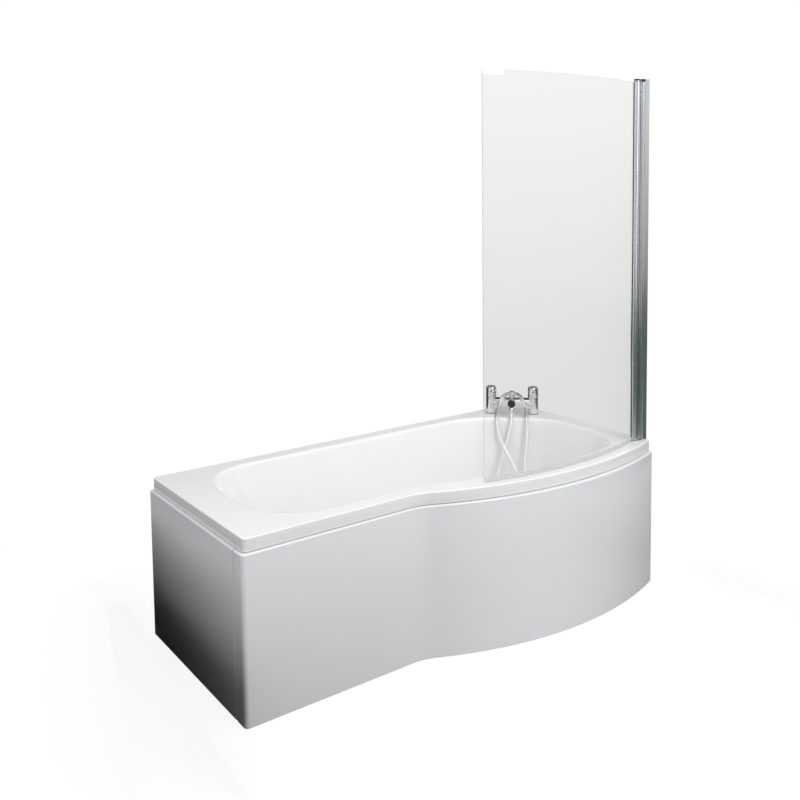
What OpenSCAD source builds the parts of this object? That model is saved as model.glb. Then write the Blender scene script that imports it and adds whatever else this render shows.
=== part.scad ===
// Shower bath with a wide showering end, its panels, frame, waste, tap and hinged glass screen.
// X runs from the narrow end to the wall at the tap end, Y to the long wall, Z up from the floor.

/* [Bath] */
// Length overall, with the end panel
bath_len = 1700; // [1680:10:1720]
// Width of the wide end overall, with the front panel
bath_wid = 850; // [840:5:860]
// Width of the narrow end overall, with the front panel
narrow_wid = 700; // [690:5:710]
// Height of the rim above the floor
rim_h = 555; // [550:5:600]
// Depth of the well below the rim
well_depth = 405; // [380:5:405]
// Thickness of the acrylic shell
shell_t = 6; // [5:0.5:7]
// Height of the lip that hangs from the rim
lip_h = 41; // [36:1:46]
// Outer radius of the lip's top edge
lip_r = 4; // [3:0.5:8]
// Radius of the well's top edge
edge_r = 14; // [10:1:15]

/* [Front curve] */
// Distance from the middle of the bath to the curve's furthest point
apex_x = 400; // [380:5:420]
// Radius of the panel's bulging curve
panel_r = 1300; // [1250:10:1350]
// Radius of the rim's bulging curve
rim_r = 1400; // [1350:10:1450]
// Radius of the hollow where the bulge starts
crease_r = 200; // [150:10:250]
// How much less the rim bulges than the panel
bulge_step = 6; // [4:1:10]

/* [Well] */
// Width of the rim at the back
rim_back = 67; // [60:1:75]
// Width of the rim at the tap end
rim_right = 73; // [70:1:80]
// Width of the rim at the narrow end
rim_left = 127; // [120:1:140]
// Width of the rim along the narrow front
rim_front = 66; // [64:1:72]
// How much less the well's front bulges than the panel
well_step = 35; // [30:1:45]
// Radius of the well's bulging front
well_r = 1250; // [1200:10:1300]
// Radius of the hollow in the well's front
well_crease_r = 300; // [260:10:340]
// Size of the corner that is cut off for the tap
corner_cut = 240; // [230:2:250]
// How far the walls lean in from top to foot
wall_lean = 42; // [36:1:48]
// How much further the backrest leans in
back_lean = 190; // [170:5:210]
// Radius between wall and floor
floor_r = 70; // [60:2:76]

/* [Panels] */
// Thickness of the panels
panel_t = 4; // [3:0.5:5]
// How far the panels stand out past the rim's lip
panel_proud = 10; // [8:1:14]
// Gap between a panel's top and the lip
panel_gap = 2; // [1:0.5:4]
// Width of the flange along a panel's top
panel_flange = 36; // [34:1:38]
// Width of the front panel's return round the near corner
panel_return = 57; // [50:1:64]
// Radius along a panel's top edge
panel_edge_r = 5; // [4.5:0.5:8]

/* [Frame] */
// Thickness of the baseboard
board_t = 18; // [15:1:18]
// Thickness of the timber battens
batten_t = 18; // [15:1:20]
// Thickness of the board under the tap corner
deck_board_t = 12; // [9:1:15]
// Width of a leg bar
bar_w = 40; // [36:1:44]
// Height of a leg bar
bar_h = 25; // [22:1:26]
// Thickness of the leg bars' steel
bar_t = 2.5; // [2:0.5:3]
// Distance from the bulge's apex back to the far leg bar
far_bar = 640; // [610:10:650]
// Distance from the bulge's apex back to the middle leg bar
middle_bar = 270; // [250:10:300]
// Distance from the bulge's apex on to the near leg bar
near_bar = 210; // [190:10:220]
// Diameter of the levelling studs
stud_d = 10; // [8:1:10]
// Diameter of the levelling feet
foot_d = 50; // [40:2:56]
// Diameter of the wood screws
screw_d = 4; // [3.5:0.5:5]

/* [Waste] */
// Distance of the waste from the middle of the bath
waste_x = 400; // [385:5:410]
// Distance of the waste from the long wall
waste_back = 395; // [385:5:405]
// Outer diameter of the waste's flange
flange_d = 70; // [66:1:72]
// Outer diameter of the waste's threaded tail
tail_d = 48; // [46:0.5:48]
// Height that the plug travels
plug_travel = 8; // [6:1:9]
// Diameter of the plug's stem
plug_stem_d = 8; // [6:1:8]
// Diameter of the overflow's cover
cover_d = 72; // [68:1:76]
// Depth of the overflow's centre below the rim
overflow_drop = 75; // [72:1:80]
// Diameter of the overflow hose
overflow_hose_d = 28; // [26:1:28]
// Diameter of the waste pipe that the trap takes
pipe_d = 43; // [40:1:43]

/* [Tap] */
// Distance between the tap's two tails
tap_centres = 180; // [170:2:184]
// Diameter of the tap's pillars and handles
pillar_d = 44; // [42:1:46]
// Height of the tap above the rim
tap_h = 118; // [112:1:122]
// Height of the handles
handle_h = 44; // [38:1:48]
// Diameter of the threaded tails
tap_tail_d = 26.4; // [25:0.2:26.6]
// Diameter of the spout
spout_d = 32; // [30:1:34]
// Height of the spout's axis above the rim
spout_z = 62; // [60:1:63]
// Reach of the spout from the tap's centre line
spout_reach = 99; // [94:1:104]
// Diameter of the diverter knob
knob_d = 20; // [18:1:20]
// Height that the diverter knob lifts
knob_travel = 10; // [8:1:12]
// Diameter of the shower hose
hose_d = 14; // [12:1:14]

/* [Screen] */
// Height of the wall profile
profile_h = 1375; // [1300:5:1400]
// Width of the glass along its curve
glass_w = 800; // [770:5:805]
// Thickness of the glass
glass_t = 6; // [5:1:6]
// Radius of the glass
glass_r = 1377; // [1340:5:1420]
// Gap between the glass and the rim
glass_gap = 12; // [11:1:16]
// Width of the wall profile along the bath
profile_w = 24; // [22:1:28]
// Depth of the wall profile across the bath
profile_d = 40; // [38:1:44]
// Diameter of the screen's pivot tube
tube_d = 24; // [22:1:24]
// Diameter of the screen's pivot pins
pin_d = 8; // [6:1:8]

/* [Hidden] */

// Clearances
face_gap = 0.3;
screw_gap = 0.1;
run_gap = 0.05;
thread_gap = 0.1;

// The bath's ends, the wall face and the front lines
panel_xl = -bath_len / 2;
wall_x = bath_len / 2;
wall_y = bath_wid / 2;
rim_xl = panel_xl + panel_proud;
panel_yf = wall_y - narrow_wid;
rim_yf = panel_yf + panel_proud;
panel_bulge = bath_wid - narrow_wid;
well_bulge = panel_bulge - well_step;
waste_y = wall_y - waste_back;
near_r = 14;
floor_z = rim_h - well_depth;
panel_h = rim_h - lip_h - panel_gap;

// An outline is a list of the left and right x, the back and front y, the bulge, the x and radius of
// its apex, the crease's radius, the corner cut, that cut's fillets at the back and at the right, and
// the radii of the front right, front left and back left corners.
panel_line = [
    panel_xl, wall_x, wall_y, panel_yf, panel_bulge, apex_x, panel_r, crease_r,
    6, 6, 6, 10, near_r, near_r
];
rim_line = [
    rim_xl, wall_x, wall_y, rim_yf, panel_bulge - bulge_step, apex_x, rim_r, crease_r,
    10, 10, 10, 16, near_r, near_r
];
back_fillet_r = 330;
right_fillet_r = 200;
well_corner_r = 200;
well_apex_x = apex_x - 20;
well_line = [
    rim_xl + rim_left, wall_x - rim_right, wall_y - rim_back, rim_yf + rim_front, well_bulge, well_apex_x,
    well_r, well_crease_r, corner_cut, back_fillet_r, right_fillet_r,
    well_corner_r, well_corner_r, well_corner_r
];

// The same outline moved inwards by d, with its left end moved by lean more
function inset(o, d, lean = 0) = [
    o[0] + d + lean, o[1] - d, o[2] - d, o[3] + d, o[4], o[5], o[6] - d, o[7] + d,
    max(o[8] - d * (2 - sqrt(2)), 1), max(o[9] - d, 1), max(o[10] - d, 1),
    max(o[11] - d, 1), max(o[12] - d, 1), max(o[13] - d, 1)
];

// n + 1 points of an arc, without the first when skip is 1
function arc(cx, cy, r, a0, a1, n, skip = 0) =
    [for (k = [skip:n]) let (a = a0 + (a1 - a0) * k / n) [cx + r * cos(a), cy + r * sin(a)]];

function bulge_cy(o) = o[3] - o[4] + o[6];
function crease_dx(o) = sqrt(2 * o[4] * (o[6] + o[7]) - o[4] * o[4]);
function crease_a(o) = asin(crease_dx(o) / (o[6] + o[7]));

// The front from the start of the crease to the bulge's point at the angle end_a past its apex
function front_line(o, end_a) = concat(
    arc(o[5] - crease_dx(o), o[3] - o[7], o[7], 90, 90 - crease_a(o), 5),
    arc(o[5], bulge_cy(o), o[6], -90 - crease_a(o), -90 + end_a, 14, 1)
);

function corner_a(o) = asin((o[1] - o[11] - o[5]) / (o[6] - o[11]));
function corner_y(o) = bulge_cy(o) - (o[6] - o[11]) * cos(corner_a(o));

// The whole outline, counter-clockwise seen from above. The straight back has points too, because the
// rings round the waste take their directions from the outline's points.
back_steps = 6;
function outline(o) = concat(
    arc(o[0] + o[12], o[3] + o[12], o[12], 180, 270, 6),
    front_line(o, corner_a(o)),
    arc(o[1] - o[11], corner_y(o), o[11], -90 + corner_a(o), 0, 6, 1),
    arc(o[1] - o[10], o[2] - o[8] - o[10] * tan(22.5), o[10], 0, 45, 4),
    arc(o[1] - o[8] - o[9] * tan(22.5), o[2] - o[9], o[9], 45, 90, 4),
    let (x1 = o[1] - o[8] - o[9] * tan(22.5), x0 = o[0] + o[13])
        [for (k = [1:back_steps - 1]) [x1 + (x0 - x1) * k / back_steps, o[2]]],
    arc(o[0] + o[13], o[2] - o[13], o[13], 90, 180, 6)
);

// Points of a circle in the directions of an outline's points, seen from the circle's centre
function around(pts, c, r) =
    [for (p = pts) let (a = atan2(p[1] - c[1], p[0] - c[0])) c + r * [cos(a), sin(a)]];

function level(pts, z) = [for (p = pts) [p[0], p[1], z]];

// Where the well's front and back walls stand at x, at the rim
function well_front(x) = bulge_cy(well_line) - sqrt(well_r * well_r - pow(x - well_apex_x, 2));
function well_front_y(x) = x < well_apex_x - crease_dx(well_line) ? well_line[3] : well_front(x);
cut_sum = well_line[1] + well_line[2] - corner_cut;
function well_back_y(x) = min(well_line[2], cut_sum - x);

// Closes a stack of rings with the same count of points into one solid. The rings run from the first
// cap over the outside to the last, or back to the first ring when caps is false.
module skin(rings, caps = true) {
    n = len(rings[0]);
    m = len(rings);
    last = caps ? m - 2 : m - 1;
    sides = [
        for (i = [0:last], k = [0:n - 1])
            let (row = i * n, next_row = ((i + 1) % m) * n, next = (k + 1) % n)
                each [[row + k, row + next, next_row + next], [row + k, next_row + next, next_row + k]]
    ];
    ends = caps ? [[for (k = [n - 1:-1:0]) k], [for (k = [0:n - 1]) (m - 1) * n + k]] : [];
    polyhedron([for (r = rings) each r], concat(sides, ends), convexity = 8);
}

// A ring of n points across a route at its point i, for a tube of radius r
function unit(v) = v / norm(v);
function heading(route, i) =
    unit(route[min(i + 1, len(route) - 1)] - route[max(i - 1, 0)]);
function tube_ring(route, i, r, n) =
    let (t = heading(route, i), side = unit(cross(t, [0.31, 0.17, 0.93])), up = cross(side, t))
        [for (k = [0:n - 1]) let (a = 360 * k / n) route[i] + r * (cos(a) * side + sin(a) * up)];

// Bath shell: values that its holes, boards and fittings share
dish_drop = 4;
dish_r = flange_d / 2 + 3;
dish_edge_r = dish_r + 12;
waste_hole_r = tail_d / 2 + 1;
tap_hole_r = tap_tail_d / 2 + 1.3;
dish_z = floor_z - dish_drop;
under_z = floor_z - shell_t;
dish_under_z = dish_z - shell_t;
wall_top_z = rim_h - edge_r;
wall_foot_z = floor_z + floor_r;

function wall_ring(share, d) =
    level(outline(inset(well_line, wall_lean * share + d, back_lean * pow(share, 1.15))),
        wall_top_z + (wall_foot_z - wall_top_z) * share);
function floor_ring(a, d) =
    level(outline(inset(well_line, wall_lean + d + (floor_r - d) * (1 - cos(a)), back_lean)),
        wall_foot_z - (floor_r - d) * sin(a));
function edge_ring(a, d) =
    level(outline(inset(well_line, -edge_r + (edge_r + d) * cos(a))), wall_top_z + (edge_r + d) * sin(a));
lip_least_r = 1;
function lip_ring(a, d) =
    let (r = max(lip_r - d, lip_least_r))
        level(outline(inset(rim_line, d + r - r * cos(a))), rim_h - d - r + r * sin(a));

module shell_skin() {
    floor_pts = outline(inset(well_line, wall_lean + floor_r, back_lean));
    dish = around(floor_pts, [waste_x, waste_y], dish_r);
    dish_edge = around(floor_pts, [waste_x, waste_y], dish_edge_r);
    skin(concat(
        [level(dish, dish_z), level(dish_edge, floor_z)],
        [for (a = [90, 67.5, 45, 22.5]) floor_ring(a, 0)],
        [for (share = [1, 0.66, 0.33, 0]) wall_ring(share, 0)],
        [for (a = [30, 60, 90]) edge_ring(a, 0)],
        [for (a = [90, 60, 30, 0]) lip_ring(a, 0)],
        [level(outline(rim_line), rim_h - lip_h), level(outline(inset(rim_line, shell_t)), rim_h - lip_h)],
        [for (a = [0, 45, 90]) lip_ring(a, shell_t)],
        [for (a = [90, 45]) edge_ring(a, -shell_t)],
        [for (share = [0, 0.33, 0.66, 1]) wall_ring(share, -shell_t)],
        [for (a = [22.5, 45, 67.5, 90]) floor_ring(a, -shell_t)],
        [level(dish_edge, under_z), level(dish, dish_under_z)]
    ));
}

// The tap stands on the corner deck, turned to face the bath
tap_x = well_line[1] - 54;
tap_y = well_line[2] - 57;
tap_turn = -45;
module tap_place(z = 0) {
    translate([tap_x, tap_y, rim_h + z]) rotate([0, 0, tap_turn]) children();
}
module both_tails() {
    for (side = [-1, 1]) translate([side * tap_centres / 2, 0, 0]) children();
}

// The overflow sits in the front wall of the well, at the bulge's apex
overflow_x = well_apex_x;
overflow_hole_r = 25;
overflow_share = (overflow_drop - edge_r) / (wall_top_z - wall_foot_z);
overflow_y = well_line[3] - well_bulge + wall_lean * overflow_share;
overflow_tilt = atan(wall_lean / (wall_top_z - wall_foot_z));
module overflow_place() {
    translate([overflow_x, overflow_y, rim_h - overflow_drop]) rotate([overflow_tilt - 90, 0, 0]) children();
}

module bath_shell() {
    color("white") difference() {
        shell_skin();
        translate([waste_x, waste_y, dish_under_z - 5])
            cylinder(r = waste_hole_r, h = shell_t + 10, $fn = 64);
        tap_place(-shell_t - 5) both_tails() cylinder(r = tap_hole_r, h = shell_t + 10, $fn = 48);
        overflow_place() translate([0, 0, -shell_t - 10])
            cylinder(r = overflow_hole_r, h = shell_t + 20, $fn = 48);
    }
}

// Frame
slot_a = 4;
slot_w = 72;
slot_l = waste_y - panel_yf + panel_bulge;
batten_w = 50;
back_lead = 150;
front_lead = 20;
batten_stop = 160;
crease_stop = 60;
corner_keep = 95;
front_keep = 70;
tap_keep = 190;
board_gap = 40;
board_inset = wall_lean + floor_r + 6;
board_bottom_z = under_z - board_t;
batten_top_z = rim_h - shell_t;
batten_in = edge_r + 2;
batten_gap = 7;
batten_out = shell_t + batten_gap;
bar_x = [well_apex_x - far_bar, well_apex_x - middle_bar, well_apex_x + near_bar];
bar_y0 = [for (x = bar_x) well_front_y(x) + 18];
bar_y1 = [for (x = bar_x) well_back_y(x + bar_w / 2) - 18];
stud_in = 24;
stud_places = [for (i = [0:2], y = [bar_y0[i] + stud_in, bar_y1[i] - stud_in]) [bar_x[i], y]];
bar_screw_in = 120;
bar_screw_places = [for (i = [0:2], y = [bar_y0[i] + bar_screw_in, bar_y1[i] - bar_screw_in]) [bar_x[i], y]];
bar_z = board_bottom_z - bar_h;
screw_grip = 12;

module baseboard() {
    color("burlywood") difference() {
        translate([0, 0, board_bottom_z]) linear_extrude(board_t)
            polygon(outline(inset(well_line, board_inset, back_lean)));
        translate([waste_x, waste_y, board_bottom_z - 1])
            cylinder(r = dish_edge_r + 8, h = board_t + 2, $fn = 64);
        translate([waste_x, waste_y, board_bottom_z - 1]) rotate([0, 0, slot_a])
            translate([-slot_w / 2, -slot_l, 0]) cube([slot_w, slot_l, board_t + 2]);
        for (p = bar_screw_places) translate([p[0], p[1], board_bottom_z - 1])
            cylinder(d = screw_d + 2 * screw_gap, h = screw_grip + 1.5, $fn = 24);
    }
}

// The battens' inner faces keep off the well, their outer faces off the lip
back_batten = [
    [well_line[0] + back_lead, well_line[2] + batten_in],
    [well_line[1] - corner_cut - batten_stop, wall_y - batten_out]
];
left_batten = [
    [rim_xl + batten_out + 3, rim_yf + corner_keep],
    [rim_xl + batten_out + 3 + batten_w, wall_y - corner_keep]
];
front_batten = [
    [well_line[0] + front_lead, rim_yf + batten_out],
    [well_apex_x - crease_dx(well_line) - crease_stop, well_line[3] - batten_in]
];
right_batten = [
    [well_line[1] + batten_in, well_front_y(wall_x - rim_right) + front_keep],
    [wall_x - batten_out, tap_y - tap_keep]
];
module batten(b, z, h) {
    translate([b[0][0], b[0][1], z]) cube([b[1][0] - b[0][0], b[1][1] - b[0][1], h]);
}
bracket_in = 140;
bracket_back = 200;
bracket_x = [back_batten[0][0] + bracket_in, back_batten[1][0] - bracket_back];
clip_in = 50;
clip_step = 140;
end_clip_in = 90;
end_clip_step = 280;
clip_x = [for (k = [0:2]) front_batten[0][0] + clip_in + clip_step * k];
clip_y = [for (k = [0:1]) left_batten[0][1] + end_clip_in + end_clip_step * k];
clip_tab = 32;
clip_w = 30;
clip_t = 3;
front_screw_y = front_batten[0][1] + clip_tab - 12;
left_screw_x = left_batten[0][0] + clip_tab - 12;
bracket_tab = 20;
bracket_screw_y = back_batten[0][1] + bracket_tab / 2;
batten_z = batten_top_z - batten_t;
batten_screw_places = concat(
    [for (x = bracket_x) [x, bracket_screw_y]],
    [for (x = clip_x) [x, front_screw_y]],
    [for (y = clip_y) [left_screw_x, y]]
);
module rim_battens() {
    color("burlywood") difference() {
        for (b = [back_batten, left_batten, front_batten, right_batten]) batten(b, batten_z, batten_t);
        for (p = batten_screw_places) translate([p[0], p[1], batten_z - 1])
            cylinder(d = screw_d + 2 * screw_gap, h = screw_grip + 1.5, $fn = 24);
    }
}

module tap_deck_board() {
    out_x = wall_x - batten_out;
    out_y = wall_y - batten_out;
    line = cut_sum + (edge_r + 9) * sqrt(2);
    low_y = right_batten[1][1] + 12;
    low_x = back_batten[1][0] + board_gap;
    nip = 4;
    color("burlywood") difference() {
        translate([0, 0, batten_top_z - deck_board_t]) linear_extrude(deck_board_t)
            polygon([[out_x, low_y], [out_x, out_y - nip], [out_x - nip, out_y], [low_x, out_y],
                [low_x, back_batten[0][1]],
                [line - back_batten[0][1], back_batten[0][1]],
                [right_batten[0][0], line - right_batten[0][0]], [right_batten[0][0], low_y]]);
        tap_place(-shell_t - deck_board_t - 1) both_tails()
            cylinder(r = tap_hole_r, h = deck_board_t + 2, $fn = 48);
    }
}

module leg_bars() {
    color("silver") difference() {
        for (i = [0:2]) translate([bar_x[i] - bar_w / 2, bar_y0[i], bar_z]) difference() {
            cube([bar_w, bar_y1[i] - bar_y0[i], bar_h]);
            translate([bar_t, -1, -1])
                cube([bar_w - 2 * bar_t, bar_y1[i] - bar_y0[i] + 2, bar_h - bar_t + 1]);
        }
        for (p = stud_places) translate([p[0], p[1], bar_z])
            cylinder(d = stud_d + 2 * screw_gap, h = bar_h + 1, $fn = 32);
        for (p = bar_screw_places) translate([p[0], p[1], bar_z])
            cylinder(d = screw_d + 2 * screw_gap, h = bar_h + 1, $fn = 24);
    }
}

// The studs stand in the feet and reach past the nuts above the bars
foot_t = 8;
foot_boss_h = 24;
foot_floor = 8;
nut_h = 8;
stud_top_z = board_bottom_z + nut_h + 4;
module leg_studs() {
    color("silver") for (p = stud_places) translate([p[0], p[1], foot_floor])
        cylinder(d = stud_d, h = stud_top_z - foot_floor, $fn = 32);
}
module hex_nut(af, h, bore) {
    difference() {
        cylinder(d = af / cos(30), h = h, $fn = 6);
        translate([0, 0, -1]) cylinder(d = bore, h = h + 2, $fn = 48);
    }
}
module leg_nuts() {
    color("silver") for (p = stud_places, z = [board_bottom_z, board_bottom_z - bar_t - nut_h])
        translate([p[0], p[1], z]) hex_nut(stud_d * 1.7, nut_h, stud_d + 2 * screw_gap);
}
module leg_feet() {
    color("dimgray") for (p = stud_places) translate([p[0], p[1], 0]) difference() {
        union() {
            cylinder(d = foot_d, h = foot_t, $fn = 48);
            cylinder(d = stud_d + 12, h = foot_boss_h, $fn = 48);
        }
        translate([0, 0, foot_floor]) cylinder(d = stud_d + 2 * screw_gap, h = foot_boss_h, $fn = 32);
    }
}

// A bracket hooks under the lip from the wall and is screwed up into the back batten
bracket_w = 40;
bracket_t = 3;
bracket_drop = 65;
bracket_hole_step = 30;
wall_screw_d = 6;
bracket_z = rim_h - lip_h - 9;
module wall_brackets() {
    y0 = back_batten[0][1];
    riser_y = y0 + bracket_tab - bracket_t;
    color("silver") for (x = bracket_x) translate([x - bracket_w / 2, 0, 0]) difference() {
        union() {
            translate([0, wall_y - bracket_t, bracket_z - bracket_drop])
                cube([bracket_w, bracket_t, bracket_drop]);
            translate([0, riser_y, bracket_z - bracket_t]) cube([bracket_w, wall_y - riser_y, bracket_t]);
            translate([0, riser_y, bracket_z - bracket_t])
                cube([bracket_w, bracket_t, batten_z - bracket_z + bracket_t]);
            translate([0, y0, batten_z - bracket_t]) cube([bracket_w, bracket_tab, bracket_t]);
        }
        translate([bracket_w / 2, bracket_screw_y, batten_z - bracket_t - 1])
            cylinder(d = screw_d + 2 * screw_gap, h = bracket_t + 2, $fn = 24);
        for (dz = [0, bracket_hole_step])
            translate([bracket_w / 2, wall_y + 1, bracket_z - bracket_drop + 12 + dz])
            rotate([90, 0, 0]) cylinder(d = wall_screw_d, h = bracket_t + 2, $fn = 24);
    }
}

screw_head_t = 2.5;
module wood_screw(grip) {
    translate([0, 0, -screw_head_t]) cylinder(d = screw_d * 2, h = screw_head_t, $fn = 24);
    cylinder(d = screw_d, h = grip, $fn = 24);
}
profile_screw_z = [rim_h + 100, rim_h + profile_h / 2, rim_h + profile_h - 100];
module fixing_screws() {
    color("silver") {
        for (p = bar_screw_places) translate([p[0], p[1], board_bottom_z - bar_t])
            wood_screw(screw_grip + bar_t);
        for (p = batten_screw_places) translate([p[0], p[1], batten_z - bracket_t])
            wood_screw(screw_grip + bracket_t);
        for (z = profile_screw_z) translate([profile_screw_x, pivot_y + profile_d / 2, z]) rotate([90, 0, 0])
            wood_screw(10);
    }
}

// Panels: the section of a panel as distances inwards from its face and heights
panel_inner_r = max(panel_edge_r - panel_t, 1);
panel_inner_z = panel_h - panel_t - panel_inner_r;
function panel_section() = concat(
    [[0, 0], [0, panel_h - panel_edge_r]],
    [for (a = [30, 60, 90]) [panel_edge_r * (1 - cos(a)), panel_h - panel_edge_r * (1 - sin(a))]],
    [[panel_flange, panel_h], [panel_flange, panel_h - panel_t]],
    [for (a = [90, 45])
        [panel_t + panel_inner_r * (1 - cos(a)), panel_inner_z + panel_inner_r * sin(a)]],
    [[panel_t, panel_inner_z], [panel_t, 0]]
);
function panel_path(d) =
    let (o = inset(panel_line, d), r = max(near_r - d, 0.5), end_a = asin((wall_x - o[5]) / o[6]))
        concat([[o[0], panel_yf + panel_return]], arc(o[0] + r, o[3] + r, r, 180, 270, 6),
            front_line(o, end_a));
function panel_rings() = let (s = panel_section(), paths = [for (q = s) panel_path(q[0])])
    [for (k = [0:len(paths[0]) - 1]) [for (j = [0:len(s) - 1]) [paths[j][k][0], paths[j][k][1], s[j][1]]]];
module front_panel() {
    color("lavender") skin(panel_rings());
}
panel_joint = 1;
module end_panel() {
    color("lightsteelblue") translate([panel_xl, wall_y, 0]) rotate([90, 0, 0])
        linear_extrude(narrow_wid - panel_return - panel_joint) polygon(panel_section());
}

// Timber on the floor that the panels' feet stand against
foot_batten = 25;
block_l = 60;
block_sag = 0.9;
module panel_battens() {
    face_y = panel_yf + panel_t + face_gap;
    face_x = panel_xl + panel_t + face_gap;
    color("burlywood") {
        translate([face_x + foot_batten + 1, face_y, 0])
            cube([apex_x - crease_dx(panel_line) - 40 - face_x - foot_batten, foot_batten, foot_batten]);
        translate([face_x, panel_yf + panel_return + 4, 0])
            cube([foot_batten, narrow_wid - panel_return - 30, foot_batten]);
        for (a = [-16, -3, 10]) translate([apex_x, bulge_cy(panel_line), 0]) rotate([0, 0, a])
            translate([-block_l / 2, -(panel_r - panel_t - face_gap - block_sag), 0])
            cube([block_l, foot_batten, foot_batten]);
    }
}

// A clip is screwed under a batten and presses on the panel's top flange
clip_foot = 9;
module clip_shape() {
    translate([-clip_w / 2, 0, batten_z - clip_t]) cube([clip_w, clip_tab, clip_t]);
    translate([-clip_w / 2, 0, panel_h + face_gap]) cube([clip_w, clip_t, batten_z - panel_h - face_gap]);
    translate([-clip_w / 2, -4, panel_h + face_gap]) cube([clip_w, clip_foot, clip_t]);
}
module panel_clips() {
    color("silver") difference() {
        union() {
            for (x = clip_x) translate([x, front_batten[0][1], 0]) clip_shape();
            for (y = clip_y) translate([left_batten[0][0], y, 0]) rotate([0, 0, -90]) clip_shape();
        }
        for (p = batten_screw_places) translate([p[0], p[1], batten_z - clip_t - 1])
            cylinder(d = screw_d + 2 * screw_gap, h = clip_t + 2, $fn = 24);
    }
}

// Waste: heights from the dish that the flange lies in
seal_t = 1.5;
under_seal_t = 3;
flange_t = 2.5;
flange_top_z = dish_z + seal_t + flange_t;
tail_bore_r = tail_d / 2 - 3;
waste_body_top_z = dish_under_z - under_seal_t;
waste_body_h = 31;
waste_body_r = 33;
backnut_h = 9;
tail_bottom_z = waste_body_top_z - waste_body_h - backnut_h - 14;
spigot_z = waste_body_top_z - 16;
spigot_r = overflow_hose_d / 2;
spigot_end = 52;
module waste_place(z) {
    translate([waste_x, waste_y, z]) children();
}
module ring(r, bore, h) {
    difference() {
        cylinder(r = r, h = h, $fn = 64);
        translate([0, 0, -1]) cylinder(r = bore, h = h + 2, $fn = 64);
    }
}
module waste_flange() {
    color("silver") waste_place(0) difference() {
        union() {
            translate([0, 0, dish_z + seal_t]) cylinder(r = flange_d / 2, h = flange_t, $fn = 64);
            translate([0, 0, tail_bottom_z])
                cylinder(r = tail_d / 2, h = dish_z + seal_t - tail_bottom_z, $fn = 64);
        }
        translate([0, 0, tail_bottom_z - 1]) cylinder(r = tail_bore_r, h = 100, $fn = 64);
        for (a = [45:90:315]) rotate([0, 0, a]) translate([0, 0, spigot_z]) rotate([0, 90, 0])
            cylinder(r = 5, h = tail_d, $fn = 24);
    }
}
module waste_seal() {
    color("dimgray") waste_place(dish_z) ring(flange_d / 2 - 1, waste_hole_r, seal_t);
}
module waste_under_seal() {
    color("dimgray") waste_place(waste_body_top_z) ring(waste_body_r, tail_d / 2 + thread_gap, under_seal_t);
}
module waste_body() {
    color("dimgray") waste_place(waste_body_top_z - waste_body_h) difference() {
        union() {
            cylinder(r = waste_body_r, h = waste_body_h, $fn = 64);
            translate([0, 0, spigot_z - waste_body_top_z + waste_body_h]) rotate([90, 0, slot_a])
                cylinder(r = spigot_r, h = spigot_end, $fn = 48);
        }
        translate([0, 0, -1]) cylinder(r = tail_d / 2 + thread_gap, h = waste_body_h + 2, $fn = 64);
        translate([0, 0, 5]) cylinder(r = waste_body_r - 3, h = waste_body_h - 10, $fn = 64);
        translate([0, 0, spigot_z - waste_body_top_z + waste_body_h]) rotate([90, 0, slot_a])
            cylinder(r = spigot_r - 3, h = spigot_end + 1, $fn = 48);
    }
}
module waste_backnut() {
    color("dimgray") waste_place(waste_body_top_z - waste_body_h - backnut_h)
        hex_nut(60, backnut_h, tail_d + 2 * thread_gap);
}
guide_top_z = flange_top_z - 3;
guide_h = 32;
guide_r = 9;
spring_h = 20;
collar_t = 2;
bush_h = 22;
module plug_guide() {
    color("gold") waste_place(guide_top_z - guide_h) difference() {
        union() {
            cylinder(r = guide_r, h = guide_h, $fn = 48);
            for (a = [0:120:240]) rotate([0, 0, a]) translate([0, -1.25, 0])
                cube([tail_bore_r - 1.5, 2.5, 8]);
            ring(tail_bore_r - thread_gap, tail_bore_r - 2.5, 8);
        }
        translate([0, 0, -1]) cylinder(d = plug_stem_d + 2 * run_gap, h = guide_h + 2, $fn = 48);
        translate([0, 0, guide_h - bush_h]) cylinder(r = guide_r - 2, h = bush_h + 1, $fn = 48);
    }
}
module plug_spring() {
    color("silver") waste_place(guide_top_z - bush_h)
        ring(guide_r - 2.3, plug_stem_d / 2 + 0.4, spring_h - face_gap);
}
plug_r = flange_d / 2 - 4;
plug_seal_t = 1.5;
plug_rest_z = flange_top_z + plug_travel + face_gap;
plug_disc_z = plug_rest_z + plug_seal_t;
collar_z = guide_top_z - bush_h + spring_h - plug_disc_z;
stop_z = guide_top_z - guide_h - face_gap - collar_t - plug_disc_z;
module waste_plug() {
    color("silver") waste_place(plug_disc_z) union() {
        rotate_extrude($fn = 64)
            polygon([[0, 0], [plug_r, 0], [plug_r, 2.5], [plug_r - 4, 3.8], [plug_r / 2, 4.8], [0, 5.2]]);
        translate([0, 0, stop_z]) cylinder(d = plug_stem_d, h = 1 - stop_z, $fn = 48);
        translate([0, 0, stop_z]) cylinder(r = guide_r - 3, h = collar_t, $fn = 48);
        translate([0, 0, collar_z]) cylinder(r = guide_r - 2 - face_gap, h = collar_t, $fn = 48);
    }
}
module plug_seal() {
    color("dimgray") waste_place(plug_rest_z) ring(plug_r - 1, tail_bore_r - 6, plug_seal_t);
}

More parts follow.
